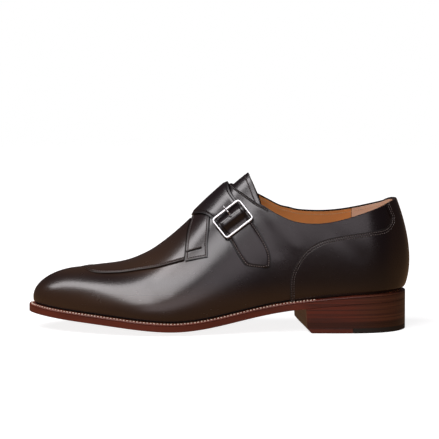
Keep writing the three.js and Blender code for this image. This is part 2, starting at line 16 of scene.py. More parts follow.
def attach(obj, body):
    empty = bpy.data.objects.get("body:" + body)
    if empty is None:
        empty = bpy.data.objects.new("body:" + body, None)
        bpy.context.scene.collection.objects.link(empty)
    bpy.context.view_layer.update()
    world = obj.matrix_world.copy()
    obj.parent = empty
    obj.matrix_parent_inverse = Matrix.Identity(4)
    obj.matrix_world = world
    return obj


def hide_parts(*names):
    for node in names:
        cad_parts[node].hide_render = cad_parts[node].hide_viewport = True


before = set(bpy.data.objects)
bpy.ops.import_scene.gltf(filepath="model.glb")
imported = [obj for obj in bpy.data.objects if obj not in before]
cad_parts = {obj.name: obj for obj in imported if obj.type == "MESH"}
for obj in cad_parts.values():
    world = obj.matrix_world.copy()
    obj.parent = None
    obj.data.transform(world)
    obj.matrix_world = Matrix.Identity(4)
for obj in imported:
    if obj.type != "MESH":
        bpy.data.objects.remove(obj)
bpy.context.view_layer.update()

bl_info = {
    "name": "Monk Strap Shoe",
    "version": (1, 0, 0),
    "blender": (4, 5, 0),
    "location": "View3D > Sidebar > Shoe",
    "description": "Makes the leather, stitching, buckle, sole and heel of a monk strap shoe",
    "category": "Add Mesh",
}

MM = 0.001
HEEL_MIDDLE = 38
BACK = -1.3
LENGTH = 302
HEEL_RADIUS = 32
TOE_RADIUS = 19
UPPER_FOOT = 7.3

# The last, section by section: the sole's underside and how much its edges lift, the outsole's half widths, the
# welt's margin, where the rib meets the ridge, and how the rib leaves the welt and comes to the ridge.
SECTIONS = (
    ("at", "base", "lift", "outer", "inner", "margin", "crest",
     "bulge_out", "bulge_in", "rise_out", "rise_in", "crown_out", "crown_in"),
    (0, 24.8, 0, 0, 0, 2.6, 36, 19, 19, 38, 38, 11.5, 11.5),
    (20, 24.3, 0, 30, 30, 2.6, 43, 11, 11, 38, 38, 14.5, 14.5),
    (45, 22.8, 0.2, 34.2, 34.2, 2.6, 57, 6.5, 6.5, 38, 38, 14.5, 14.5),
    (78, 19.4, 0.5, 34, 33.5, 2.5, 82, 7, 8.5, 38, 38, 15, 15),
    (105, 15.3, 0.9, 35, 30.5, 2.6, 106, 6, 10, 38, 37, 14.5, 14),
    (130, 9.9, 1.4, 39.5, 29, 3, 130, 4.5, 12, 38, 36, 15, 13.5),
    (155, 4, 2.2, 45, 33, 3.5, 155, 4, 11.5, 34, 33, 18, 14),
    (180, -0.4, 3.9, 49.8, 43, 4, 180, 4.5, 7.5, 28, 29, 21, 15),
    (200, 0.5, 3.6, 51.6, 49.2, 4.3, 200, 4.2, 4.5, 24, 26, 24, 18),
    (225, 3.2, 3.3, 48.8, 50, 4.4, 224, 3.6, 3.5, 20, 22, 26, 22),
    (250, 6.3, 2.6, 41.2, 43.8, 4.4, 244, 3, 3, 17.5, 18, 24, 22),
    (275, 9.3, 1.6, 30, 33, 4.3, 257, 2.2, 2.2, 16.5, 16.5, 21, 21),
    (302, 13.4, 0.5, 0, 0, 4, 262, 6, 6, 15.5, 15.5, 20, 20),
)
RIDGE = (
    ("at", "height", "side"),
    (36, 150, 0), (60, 150, 0), (90, 144.5, -0.5), (112, 135.8, -1.5), (127, 127.3, -2.5), (143.7, 113.5, -3),
    (158.2, 100.3, -3.5), (172.7, 86, -4), (187.2, 73, -4.5), (206.5, 59.5, -4.5), (225.8, 52.2, -3),
    (245.1, 49.9, -1.2), (262, 49, 0),
)

# The openings and seams seen from the side, as (at, height)
COLLAR_OUTER = (
    (-12, 106), (8.6, 104.3), (16.5, 101.7), (26.3, 98.1), (42.7, 92.7), (59.2, 88.7), (73.1, 87.5), (88.1, 89.1),
    (102, 94.6), (113.5, 101.2), (118, 102.6), (127.5, 108.2), (137.6, 114), (147, 119.5), (153, 135),
)
COLLAR_INNER = (
    (-12, 106), (8.6, 104.3), (18.1, 100.3), (34.5, 96), (51, 93), (67.4, 91.8), (83.8, 92.6), (92, 94.6),
    (100.2, 96.8), (110, 102.3), (118.7, 107.4), (128, 112.4), (137.6, 116), (147, 121), (153, 135),
)
APRON_EDGE = (
    (176.7, 58.1), (198.2, 52), (220.7, 47.6), (234, 46.2), (247.3, 46.2), (255.3, 47.9), (258.6, 49.3), (260.8, 51),
    (262, 56),
)
APRON_BACK = ((176.7, 58.1), (176.3, 61), (175.1, 71.4), (173.6, 80), (170.5, 89.9), (169.9, 97), (169.9, 120))
STRIP_REAR = ((158, 61), (157.8, 65.1), (158.1, 72.3), (157, 82.1), (156.6, 88.1), (156.2, 95), (156, 125))
STRIP_FRONT = ((175.6, 57.4), (175.5, 60.9), (174.3, 71.4), (172.8, 80), (169.6, 89.9), (169, 97), (169, 125))
COUNTER_EDGE = (
    (92.2, 10), (92.2, 29.7), (91.8, 44.6), (87.7, 55.3), (79.5, 66.7), (67.1, 74.1), (50.7, 77.9), (26.1, 81.4),
    (17.9, 82.6), (13.2, 86.1), (11.8, 90.7), (13.2, 94.8), (15.5, 100.3), (16.5, 106),
)
TONGUE_REAR = (
    (113, 88), (114.5, 97), (117, 105.5), (119, 110), (121.5, 116), (124.9, 123.2), (126.6, 126.5), (128.6, 131),
)
TONGUE_FRONT = ((164, 70), (164, 140))

# The strap: for each place across, its rear and front edge and how far it stands off the quarter
STRAP = (
    ("across", "rear", "front", "lift"),
    (-0.7, 137, 141, 0.3), (-0.69, 133.5, 146, 0.3), (-0.66, 131, 150, 0.3), (-0.6, 131, 153, 0.5),
    (-0.5, 132.5, 157, 1), (-0.35, 136, 162.5, 1.5), (-0.15, 139.5, 168.6, 1.85), (0, 140.8, 169, 1.9),
    (0.12, 140.3, 165.2, 1.9), (0.2, 139.2, 160.7, 1.8), (0.336, 133.8, 153.1, 1.55), (0.42, 128.8, 148.4, 0.9),
    (0.52, 121.2, 142.3, 0.5), (0.6, 114.8, 137.4, 0.4), (0.66, 110.5, 133.6, 0.35), (0.71, 108, 129.8, 0.3),
    (0.735, 107.6, 126.4, 0.3), (0.755, 107.8, 119.5, 0.3), (0.775, 108.6, 111, 0.3),
)
PRONG_SIDE = -0.6
HOLE_RADIUS = 1.15
# The prong's path over the centre bar, as (down the strap, off the quarter)
PRONG = ((-0.8, 3), (-3.2, 4.6), (-5.0, 6.1), (-8.2, 6.6), (-11.6, 6.5))
PRONG_WIDE, PRONG_TALL = 0.85, 0.75
# The holes through the strap, as (across the strap, down it): the spare one on the hump and the prong's own
SPARE_HOLE = (0.9, -1.1)
PRONG_HOLE = (PRONG_SIDE, -5.6)

# How far the rows of stitches lie from the seams that they follow
APRON_ROW = 2.2
STRIP_ROW = 1.7
COUNTER_ROWS = (1.3, 3.1)
COLLAR_ROW = 1.9
LINING_ROW = 3.0
TONGUE_ROW = 3.6
STRAP_ROW, STRAP_GROOVE = 1.7, 1.8
COLLAR_ROW_START = 1.3  # an angle on the last: the outside row lies in front of it
TAIL_START, TAIL_RUN = 0.5, 0.262  # where the row round the strap's tail starts, and how far down it goes
WELT_ROW_START = 1.02  # an angle on the last: the welt is stitched in front of it

# The sole's layers, inside the line of the upper's foot
INSOLE_INSET = 2.6
WELT_INSET = 2.2
WELT_SLOPE = 1.3  # how much lower the welt's top is at its outer edge

# The heel: the heights at which its lifts meet, where its rubber corner ends and its bottom leather starts, and its
# front as (height, at)
LIFTS = (4, 9, 14, 19, 40)
RUBBER_END, LEATHER_START = 41.8, 42.0
BREAST = ((0, 75), (3, 78.3), (22, 79.5), (40, 79.5))
BREAST_TOP = 22
BREAST_HALF = 34
BREAST_SLANT = 0.13
SOLE_MEETS = 19.5  # anything of the heel above this height follows the sole's underside


class ShoeSizes(bpy.types.PropertyGroup):
    """Sizes of the shoe's details, in metres"""

    leather: FloatProperty(name="Leather", description="Thickness of the outside leather", default=0.0012,
                           unit="LENGTH")
    wall: FloatProperty(name="Wall", description="Outside leather and lining together", default=0.0022,
                        unit="LENGTH")
    overlay: FloatProperty(name="Overlay", description="Thickness of the apron, counter and strip", default=0.0009,
                           unit="LENGTH")
    strap: FloatProperty(name="Strap", description="Thickness of the strap", default=0.0018, unit="LENGTH")
    sole: FloatProperty(name="Outsole", description="Thickness of the outsole", default=0.0046, unit="LENGTH")
    welt: FloatProperty(name="Welt", description="Thickness of the welt", default=0.0024, unit="LENGTH")
    insole: FloatProperty(name="Insole", description="Height of the insole over the welt", default=0.0022,
                          unit="LENGTH")
    gap: FloatProperty(name="Gap", description="Room between pieces that touch", default=0.0003, unit="LENGTH")
    stitch: FloatProperty(name="Stitch", description="Pitch of the upper's stitches", default=0.0019, unit="LENGTH")
    thread: FloatProperty(name="Thread", description="Thickness of the upper's thread", default=0.00055,
                          unit="LENGTH")


class ShoeColours(bpy.types.PropertyGroup):
    """Colours of the shoe's materials"""

    calf: FloatVectorProperty(name="Calf", description="Polished upper leather", subtype="COLOR", size=4,
                              default=(0.010, 0.0058, 0.0066, 1))
    # Both the toe's burnish and the painted warm reflection on the lower edges, the heel's back and the toe's top
    burnish_and_painted_reflection: FloatVectorProperty(name="Burnish", description="Warmer tone of the toe and lower edges",
                                 subtype="COLOR", size=4, default=(0.042, 0.021, 0.011, 1))
    edge: FloatVectorProperty(name="Sole edge", description="Stained edge of welt, sole and heel", subtype="COLOR",
                              size=4, default=(0.15, 0.027, 0.0135, 1))
    lining: FloatVectorProperty(name="Lining", description="Tan lining", subtype="COLOR", size=4,
                                default=(0.80, 0.34, 0.10, 1))
    seat: FloatVectorProperty(name="Heel lining", description="Paler lining of the heel", subtype="COLOR", size=4,
                              default=(0.88, 0.60, 0.42, 1))
    metal: FloatVectorProperty(name="Buckle", description="Polished buckle", subtype="COLOR", size=4,
                               default=(0.52, 0.52, 0.53, 1))
    rubber: FloatVectorProperty(name="Rubber", description="Heel's rubber corner", subtype="COLOR", size=4,
                                default=(0.02, 0.015, 0.012, 1))


def sizes():
    return bpy.context.scene.shoe_sizes


def colours():
    return bpy.context.scene.shoe_colours


# Curves

def spline(xs, ys):
    """A natural cubic spline, carried on straight past its ends."""
    n = len(xs)
    bend = [0.0] * n
    work = [0.0] * n
    for i in range(1, n - 1):
        share = (xs[i] - xs[i - 1]) / (xs[i + 1] - xs[i - 1])
        p = share * bend[i - 1] + 2
        turn = (ys[i + 1] - ys[i]) / (xs[i + 1] - xs[i]) - (ys[i] - ys[i - 1]) / (xs[i] - xs[i - 1])
        bend[i] = (share - 1) / p
        work[i] = (6 * turn / (xs[i + 1] - xs[i - 1]) - share * work[i - 1]) / p
    for i in range(n - 2, -1, -1):
        bend[i] = bend[i] * bend[i + 1] + work[i]

    def at(x):
        i = 1
        while i < n - 1 and x > xs[i]:
            i += 1
        width = xs[i] - xs[i - 1]
        b = (x - xs[i - 1]) / width
        a = 1 - b
        value = a * ys[i - 1] + b * ys[i]
        if a >= 0 and b >= 0:
            value += ((a ** 3 - a) * bend[i - 1] + (b ** 3 - b) * bend[i]) * width * width / 6
        return value
    return at


def columns_of(table):
    """One spline for each named column, over the first column."""
    names, rows = table[0], table[1:]
    xs = [row[0] for row in rows]
    return {name: spline(xs, [row[i] for row in rows]) for i, name in enumerate(names)}


def flowing(points, count):
    """Points along a smooth curve through the given ones."""
    made = []
    last = len(points) - 1
    for k in range(count + 1):
        place = last * k / count
        i = min(int(place), last - 1)
        t = place - i
        p0, p1, p2, p3 = (Vector(points[min(max(j, 0), last)]) for j in (i - 1, i, i + 1, i + 2))
        v0, v1 = (p2 - p0) / 2, (p3 - p1) / 2
        cubic, square = 2 * p1 - 2 * p2 + v0 + v1, 3 * p2 - 3 * p1 - 2 * v0 - v1
        made.append(cubic * t ** 3 + square * t * t + v0 * t + p1)
    return made


def straight(points, count):
    """Points spread along straight runs between the given ones."""
    runs = [Vector(p) for p in points]
    return [a.lerp(b, k / count) for a, b in zip(runs, runs[1:]) for k in range(count)] + [runs[-1]]


# The last

SECTION = columns_of(SECTIONS)
RIDGE_LINE = columns_of(RIDGE)


class Outline:
    """The sole's outline inset by a margin: round at both ends."""

    def __init__(self, inset):
        self.start = BACK + inset(0)
        self.end = LENGTH - inset(LENGTH)
        self.half = {1: self.widths("outer", inset), -1: self.widths("inner", inset)}

    def widths(self, side, inset):
        start, end = self.start, self.end
        column = SECTIONS[0].index(side)
        rows = SECTIONS[2:-1]

        def rounded(at):
            share = (at - start) / (end - start)
            return 2 * math.sqrt(share * (1 - share))

        def tip(radius, less):
            return math.sqrt((radius - less) * (end - start) / 2)
        full = spline(
            [start] + [row[0] for row in rows] + [end],
            [tip(HEEL_RADIUS, inset(start))]
            + [(row[column] - inset(row[0])) / rounded(row[0]) for row in rows]
            + [tip(TOE_RADIUS, inset(end))],
        )
        return lambda at: full(at) * math.sin(self.angle(at))

    def at(self, angle):
        return self.start + (self.end - self.start) * (1 - math.cos(angle)) / 2

    def angle(self, at):
        return math.acos(min(1, max(-1, 1 - 2 * (at - self.start) / (self.end - self.start))))

    def point(self, angle, side):
        at = self.at(angle)
        return at, side * self.half[side](at)


SOLE_LINE = Outline(lambda at: 0)
FEATHER = Outline(SECTION["margin"])


def underside(at, y):
    half = SOLE_LINE.half[1 if y > 0 else -1](min(LENGTH - 0.5, max(BACK + 0.5, at)))
    return SECTION["base"](at) + SECTION["lift"](at) * min(1, abs(y) / half) ** 2


@lru_cache(maxsize=None)
def rib(angle, side):
    """The four points that a rib of the last is drawn from."""
    at, y = FEATHER.point(angle, side)
    lean = side * (1 - (1 - math.sin(angle)) ** 3) / 2

    def shaped(name):
        return SECTION[name + "_out"](at) * (0.5 + lean) + SECTION[name + "_in"](at) * (0.5 - lean)
    foot = Vector((at, y, underside(at, y) + UPPER_FOOT))
    crest = SECTION["crest"](at)
    top = Vector((crest, RIDGE_LINE["side"](crest), RIDGE_LINE["height"](crest)))
    run = Vector((foot.x - top.x, foot.y - top.y)).normalized()
    aside, climb = (RIDGE_LINE[name](crest + 0.5) - RIDGE_LINE[name](crest - 0.5) for name in ("side", "height"))
    along = Vector((1, aside, climb)).normalized()
    low = foot + Vector((run.x, run.y, 0)) * shaped("bulge")
    low.z += shaped("rise")
    high = top + along * run.x * shaped("crown")
    high.y += run.y * shaped("crown")
    return foot, low, high, top


def last_point(angle, across, side=0):
    """A point of the last.

    The angle goes from the heel, 0, to the toe, pi, and across goes from the inner welt, -1, to the outer, 1.
    """
    side = side or (-1 if across < 0 else 1)
    foot, low, high, top = rib(round(angle, 7), side)
    s = across * side
    t = 1 - s
    return foot * s ** 3 + low * (3 * s * s * t) + high * (3 * s * t * t) + top * t ** 3


def last_normal(angle, across):
    """The outward normal there."""
    step = 1e-3
    if angle < step or angle > math.pi - step:
        side = -1 if across < 0 else 1
        level = abs(across)
        above, below = max(0, level - step), min(1, level + step)
        up = last_point(angle, side * above, side) - last_point(angle, side * below, side)
        way = -1 if angle < step else 1
        return Vector((way * up.z, 0, -way * up.x)).normalized()

    def one_sided(a, b, side):
        middle = (a + b) / 2
        along = last_point(angle + step, middle, side) - last_point(angle - step, middle, side)
        return along.cross(last_point(angle, b, side) - last_point(angle, a, side)).normalized()
    if abs(across) > step:
        return one_sided(max(-1, across - step), min(1, across + step), -1 if across < 0 else 1)
    return (one_sided(-step, -step / 100, -1) + one_sided(step / 100, step, 1)).normalized()


def placed(point):
    """A point of the tables' frame in the row's frame, in metres."""
    return Vector(((point.x - HEEL_MIDDLE) * MM, point.y * MM, point.z * MM))


# Soft creases, seen from the side: where each starts and ends, its half width and its depth
CREASES = (
    ((201, 58), (196, 30), 6.0, 0.16), ((189, 46), (190, 22), 5.0, 0.11), ((212, 56), (209, 36), 5.5, -0.09),
    ((118, 92), (104, 66), 6.0, 0.30), ((104, 88), (88, 70), 5.0, -0.20), ((60, 82), (36, 62), 7.0, 0.22),
)


def dent(point):
    """How far the creases move the leather at a point."""
    depth = 0.0
    for (x0, z0), (x1, z1), half, deep in CREASES:
        x, z, dx, dz = point.x - x0, point.z - z0, x1 - x0, z1 - z0
        share = min(1, max(0, (x * dx + z * dz) / (dx * dx + dz * dz)))
        away = math.hypot(x - dx * share, z - dz * share) / half
        if away < 3:
            depth -= deep * math.exp(-away * away)
    return depth


def on_last(angle, across, off):
    """A place on the last in the row's frame, off millimetres outside it."""
    point = last_point(angle, across)
    return placed(point + last_normal(angle, across) * (off + dent(point)))


def place_of(at, height, side, start):
    """(angle, level) of the last's point that is seen at this place from the side."""
    angle, level = start
    step = 1e-4
    for _ in range(12):
        here = last_point(angle, side * level, side)
        turned = (last_point(angle + step, side * level, side) - here) / step
        lowered = (last_point(angle, side * (level + step), side) - here) / step
        det = turned.x * lowered.z - lowered.x * turned.z
        if abs(det) < 1e-6:
            break
        x, z = at - here.x, height - here.z
        angle += min(0.1, max(-0.1, (x * lowered.z - z * lowered.x) / det))
        level += min(0.1, max(-0.1, (z * turned.x - x * turned.z) / det))
        angle = min(math.pi - 1e-3, max(1e-3, angle))
        level = min(1.05, max(-0.3, level))
    return angle, level


def traced(points, side):
    """A line given from the side as places on the last, from its first point up to the ridge at most."""
    made = []
    here = (FEATHER.angle(points[0][0]), 0.5)
    for at, height in points:
        here = place_of(at, height, side, here)
        if here[1] < 0:
            if made:
                share = made[-1][1] / (made[-1][1] - here[1])
                made.append((made[-1][0] + (here[0] - made[-1][0]) * share, 0.0))
            break
        made.append((here[0], min(1, here[1])))
    return [(angle, side * level) for angle, level in made]


class Line:
    """A line drawn on the last, measured along its length."""

    def __init__(self, places):
        self.places = places
        points = [on_last(angle, across, 0) for angle, across in places]
        self.run = [0.0]
        for a, b in zip(points, points[1:]):
            self.run.append(self.run[-1] + (b - a).length)
        self.length = self.run[-1]

    def at(self, share):
        goal = min(1, max(0, share)) * self.length
        i = min(max(bisect_left(self.run, goal), 1), len(self.run) - 1)
        width = self.run[i] - self.run[i - 1]
        t = (goal - self.run[i - 1]) / width if width else 0
        (a0, c0), (a1, c1) = self.places[i - 1], self.places[i]
        return Vector((a0 + (a1 - a0) * t, c0 + (c1 - c0) * t))


def patch(left, right, bottom, top):
    """A four-sided field of places on the last, between four lines given as functions of a share."""
    def place(u, v):
        corners = bottom(0).lerp(bottom(1), u).lerp(top(0).lerp(top(1), u), v)
        return left(v).lerp(right(v), u) + bottom(u).lerp(top(u), v) - corners
    return place


COLLAR_LINES = {1: flowing(COLLAR_OUTER, 84), -1: flowing(COLLAR_INNER, 84)}


def collar_height(at, y):
    """The collar's height at a place seen from above, between its two sides' lines."""
    def from_side(line):
        for (x0, z0), (x1, z1) in zip(line, line[1:]):
            if at <= x1:
                return z0 + (z1 - z0) * (at - x0) / (x1 - x0)
        return 500
    share = min(1, max(0, (y + 22) / 44))
    return from_side(COLLAR_LINES[-1]) * (1 - share) + from_side(COLLAR_LINES[1]) * share


@lru_cache(maxsize=None)
def collar_level(angle, side):
    """The level at which the rib meets the collar, or 0 where it runs on to the ridge."""
    def over(level):
        p = last_point(angle, side * level, side)
        return p.z - collar_height(p.x, p.y)
    if over(0) < 0:
        return 0.0
    low, high = 0.0, 1.0
    for _ in range(22):
        middle = (low + high) / 2
        if over(middle) > 0:
            low = middle
        else:
            high = middle
    return high


# The strap and the buckle's own frame

STRAP_LINE = columns_of(STRAP)
STRAP_SEAM = STRAP[1][0]
STRAP_TIP = STRAP[-1][0]
STRAP_SPAN = STRAP_TIP - STRAP_SEAM
BUCKLE_ACROSS = 0.43  # where the buckle's middle lies across the last
BAR_HEIGHT = 2.2  # of the centre bar over the quarter
BAR_RADIUS = 0.75
BAR_LONG = 26.8
LEG_WIDE, LEG_LONG, LEG_SIDE = 1.4, 2.2, 13.3  # of the two legs that carry the bar, and their place across
EYE_RADIUS = 1.7  # of the prong's eye round the bar
EYE_WIRE = 0.42
FRAME_HEIGHT = 4.4
FRAME_LEAN = 0.05
FRAME_DOWN = 1.1  # how far the frame sits down the strap from the bar
FRAME_LONG, FRAME_SHORT, FRAME_THICK = 28.5, 21.4, 1.8
FRAME_CORNER, RAIL = 3.2, 1.9


def buckle_frame():
    def middle(across):
        at = (STRAP_LINE["rear"](across) + STRAP_LINE["front"](across)) / 2
        return FEATHER.angle(at), across
    centre = last_point(*middle(BUCKLE_ACROSS))
    above, below = (last_point(*middle(BUCKLE_ACROSS + way * 0.06)) for way in (-1, 1))
    down = (below - above).normalized()
    off = last_normal(*middle(BUCKLE_ACROSS))
    off = (off + down * (FRAME_LEAN - off.dot(down))).normalized()
    across = down.cross(off).normalized()
    down = off.cross(across)
    return centre, across, down, off


BUCKLE_CENTRE, BUCKLE_W, BUCKLE_D, BUCKLE_N = buckle_frame()


def on_buckle(w, d, n):
    """A place given across the strap, down it and off the shoe, in the row's frame."""
    return placed(BUCKLE_CENTRE + BUCKLE_W * w + BUCKLE_D * d + BUCKLE_N * n)


# Meshes

def skin(grids, low, high):
    """A closed piece between two offsets: each grid is (columns, rows, place), with place(u, v, offset)."""
    bm = bmesh.new()
    layers = [bm.verts.layers.float.new(name) for name in ("u", "v", "part")]
    for part, (columns, rows, place) in enumerate(grids):
        made = bmesh.ops.create_grid(bm, x_segments=columns, y_segments=rows, size=0.5)["verts"]
        for v in made:
            u, w = v.co.x + 0.5, v.co.y + 0.5
            v[layers[0]], v[layers[1]], v[layers[2]] = u, w, part
            v.co = place(u, w, low)
    bmesh.ops.remove_doubles(bm, verts=bm.verts, dist=2e-6)
    grown = bmesh.ops.extrude_face_region(bm, geom=bm.faces[:])["geom"]
    for v in grown:
        if isinstance(v, bmesh.types.BMVert):
            u, w, part = (v[layer] for layer in layers)
            v.co = grids[round(part)][2](u, w, high)
    for name in ("u", "v", "part"):
        bm.verts.layers.float.remove(bm.verts.layers.float[name])
    bmesh.ops.recalc_face_normals(bm, faces=bm.faces)
    return bm


def rounded(piece, width, segments):
    """Rounds the sharp edges of a piece."""
    edge = piece.modifiers.new("edges", "BEVEL")
    edge.width = width
    edge.segments = segments
    edge.limit_method = "ANGLE"
    edge.angle_limit = math.radians(50)
    return edge


def finished(bm, name, material, *nodes, slot="", bevel=0.0, segments=2):
    """Makes the mesh a named piece that rides on the shoe and stands for its nodes."""
    mesh = bpy.data.meshes.new(name)
    bm.to_mesh(mesh)
    bm.free()
    piece = bpy.data.objects.new(name, mesh)
    bpy.context.scene.collection.objects.link(piece)
    mesh.materials.append(material)
    mesh.shade_smooth()
    if bevel:
        rounded(piece, bevel, segments).harden_normals = True
    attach(piece, "root")
    if nodes:
        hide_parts(*nodes)
    return piece


def distance_mark(piece, name, points):
    """Gives each vertex its distance in millimetres from a line of points, up to a centimetre or so."""
    tree = kdtree.KDTree(len(points))
    for i, point in enumerate(points):
        tree.insert(point, i)
    tree.balance()
    values = [min(12.0, tree.find(v.co)[2] / MM) for v in piece.data.vertices]
    piece.data.attributes.new(name, "FLOAT", "POINT").data.foreach_set("value", values)


# Materials

class Value:
    """A socket's number, written in sums and products."""

    def __init__(self, nodes, socket):
        self.nodes = nodes
        self.socket = socket

    def sum(self, operation, *others, first=None):
        """A Math node on this value and the others, or with another value in front of it."""
        inputs = [self, *others] if first is None else [first, self]
        return self.nodes.add("ShaderNodeMath", {"operation": operation}, dict(enumerate(inputs)))[0]

    def __add__(self, other):
        return self.sum("ADD", other)

    def __radd__(self, other):
        return self.sum("ADD", other)

    def __sub__(self, other):
        return self.sum("SUBTRACT", other)

    def __rsub__(self, other):
        return self.sum("SUBTRACT", first=other)

    def __mul__(self, other):
        return self.sum("MULTIPLY", other)

    def __rmul__(self, other):
        return self.sum("MULTIPLY", other)

    def smaller(self, other):
        return self.sum("MINIMUM", other)

    def larger(self, other):
        return self.sum("MAXIMUM", other)

    def size(self):
        return self.sum("ABSOLUTE")

    def root(self):
        return self.sum("SQRT")

    def ramp(self, low, high, out_low=0.0, out_high=1.0):
        """Goes smoothly from out_low to out_high as the value goes from low to high."""
        made = self.nodes.add("ShaderNodeMapRange", {"interpolation_type": "SMOOTHSTEP"}, {
            "Value": self, "From Min": low, "From Max": high, "To Min": out_low, "To Max": out_high})
        return made[0]

    def band(self, middle, half):
        """1 at middle, falling to 0 at half away from it."""
        return (self - middle).size().ramp(0.0, half, 1.0, 0.0)


class Nodes:
    """Builds a node tree."""

    def __init__(self, tree):
        self.tree = tree

    def add(self, kind, settings, inputs):
        """Adds a node and returns its outputs as values."""
        node = self.tree.nodes.new(kind)
        for name, value in settings.items():
            setattr(node, name, value)
        for name, value in inputs.items():
            self.feed(node.inputs[name], value)
        return [Value(self, socket) for socket in node.outputs]

    def feed(self, socket, value):
        if isinstance(value, Value):
            self.tree.links.new(value.socket, socket)
        elif socket.type == "RGBA" and len(value) == 3:
            socket.default_value = (*value, 1)
        else:
            socket.default_value = value

    def mix(self, factor, a, b):
        """Mixes two colours."""
        node = self.tree.nodes.new("ShaderNodeMix")
        node.data_type = "RGBA"
        for index, value in ((0, factor), (6, a), (7, b)):
            self.feed(node.inputs[index], value)
        return Value(self, node.outputs[2])


class Finish(Nodes):
    """A material with one shader; its arguments are the shader's constants."""

    def __init__(self, name, **constants):
        self.material = bpy.data.materials.new(name)
        self.material.use_nodes = True
        super().__init__(self.material.node_tree)
        self.shader = self.tree.nodes["Principled BSDF"]
        self.set(**constants)

    def set(self, **inputs):
        for name, value in inputs.items():
            self.feed(self.shader.inputs[name.replace("_", " ")], value)

    def place(self):
        """Object coordinates, as a vector and as x, y and z."""
        vector = self.add("ShaderNodeTexCoord", {}, {})[3]
        return vector, self.add("ShaderNodeSeparateXYZ", {}, {0: vector})

    def mark(self, name):
        return self.add("ShaderNodeAttribute", {"attribute_name": name}, {})[2]

    def stretched(self, vector, scale):
        return self.add("ShaderNodeMapping", {}, {"Vector": vector, "Scale": scale})[0]

    def noise(self, vector, scale, detail=2.0, rough=0.5):
        made = self.add("ShaderNodeTexNoise", {}, {
            "Vector": vector, "Scale": scale, "Detail": detail, "Roughness": rough})
        return made[0]

    def cells(self, vector, scale):
        return self.add("ShaderNodeTexVoronoi", {"feature": "DISTANCE_TO_EDGE"}, {
            "Vector": vector, "Scale": scale})[0]

    def shades(self, factor, colour, share):
        """Goes from a colour to a share of it."""
        return self.mix(factor, colour[:3], [c * share for c in colour[:3]])

    def bump(self, height, distance, strength=1.0, under=None):
        inputs = {"Height": height, "Distance": distance, "Strength": strength}
        if under:
            inputs["Normal"] = under
        return self.add("ShaderNodeBump", {}, inputs)[0]


@lru_cache(maxsize=None)
def calf(rows=(), rim_dye_and_shade=0.6):
    """Polished calf: near-black brown, burnished warmer at the toe, with a painted warm reflection along the welt
    and at the heel's back and painted light on the toe's top.

    rows are the distances from the edge, in millimetres, at which stitches or creases are pressed in.
    """
    f = Finish("polished_calf" + "".join("_%d" % (row * 10) for row in rows), Specular_IOR_Level=0.5,
               Coat_Roughness=0.15, Coat_IOR=1.45)
    vector, (x, _, z) = f.place()
    cloud = f.noise(vector, 14.0, 3.0)
    # Warmer towards the toe: burnish. Warmer along the foot and at the heel's back: painted reflection of a warm
    # floor. Warmer on the toe's top: painted light.
    toe = x.ramp(0.16, 0.25)
    foot = z.ramp(0.045, 0.024)
    back = x.ramp(-0.018, -0.036)
    top = x.ramp(0.11, 0.17) * z.ramp(0.040, 0.052)
    painted_reflection_and_burnish = (toe * 0.1 + foot * 0.8 + back * 0.6 + top * 0.75 + (cloud - 0.5) * 0.5).larger(0.0).smaller(1.0)
    dark = f.shades(cloud.ramp(0.35, 0.7), colours().calf, 0.7)
    colour = f.mix(painted_reflection_and_burnish, dark, colours().burnish_and_painted_reflection[:])
    edge = f.mark("edge")
    # The rim darkens for the edges' dye and for a painted shadow line along them.
    dyed_rim_and_shade = edge.ramp(0.2, 1.0, 1.0, 0.0)
    pressed = dyed_rim_and_shade * 0.0
    for row in rows:
        pressed = pressed.larger(edge.band(row, 0.6))
    # Painted shadow in the groove where the upper meets the welt (seat), along the seam over the tongue and in the
    # bar tack's slot (slot).
    painted_seam_shadow = (f.mark("seat").ramp(1.1, 2.1, 1.0, 0.0)).larger(f.mark("slot").ramp(0.7, 1.3, 1.0, 0.0))
    # Near-black at the rim, in the pressed rows as painted shade in their grooves, and in the painted seam shadow.
    colour = f.mix((dyed_rim_and_shade * rim_dye_and_shade).larger(pressed * 0.8).larger(painted_seam_shadow), colour, (0.002, 0.0016, 0.0016))
    pores = f.noise(vector, 1400.0, 2.0, 0.6)
    grain = f.cells(vector, 900.0).ramp(0.0, 0.25)
    wear = f.noise(vector, 60.0, 4.0, 0.6)
    scuff = f.noise(f.stretched(vector, (1.0, 1.0, 3.0)), 160.0, 3.0, 0.7).ramp(0.62, 0.8)
    fine = f.bump(pores * 0.5 + grain * 0.5, 0.00004, 0.2, f.bump(f.noise(vector, 90.0, 3.0), 0.0004, 0.07))
    dull = dyed_rim_and_shade * 0.3 + painted_seam_shadow * 0.6 + pressed * 0.35
    polish = (1.0 - painted_seam_shadow) * (1.0 - dyed_rim_and_shade) * (1.0 - pressed)
    f.set(Base_Color=colour, Roughness=(wear - 0.5) * 0.08 + scuff * 0.04 + 0.26 + dull,
          Coat_Weight=wear * 0.4 * polish, Normal=f.bump(1.0 - pressed, 0.0004, 1.0, fine))
    return f.material


@lru_cache(maxsize=None)
def lining_leather():
    """Tan lining leather, paler in the heel behind its seam, with painted shade towards the bottom inside the shoe.
    """
    f = Finish("lining_leather")
    vector, (x, _, z) = f.place()
    cloud = f.noise(vector, 30.0, 3.0)
    tan = f.shades(cloud.ramp(0.3, 0.75), colours().lining, 0.8)
    pale = f.shades(cloud.ramp(0.3, 0.7), colours().seat, 0.86)
    colour = f.mix(x.ramp(0.0035, 0.0029), tan, pale)
    colour = f.mix(x.band(0.0034, 0.0006) * 0.75, colour, (0.10, 0.035, 0.012))
    # Painted shade: the lining darkens towards the bottom, deeper inside the shoe.
    deep = z.ramp(0.06, 0.03)
    colour = f.mix(deep * 0.35, colour, (0.25, 0.10, 0.035))
    nap = f.noise(vector, 900.0, 3.0, 0.6)
    f.set(Base_Color=colour, Roughness=(cloud - 0.5) * 0.1 + 0.58, Normal=f.bump(nap, 0.0001, 0.3))
    return f.material


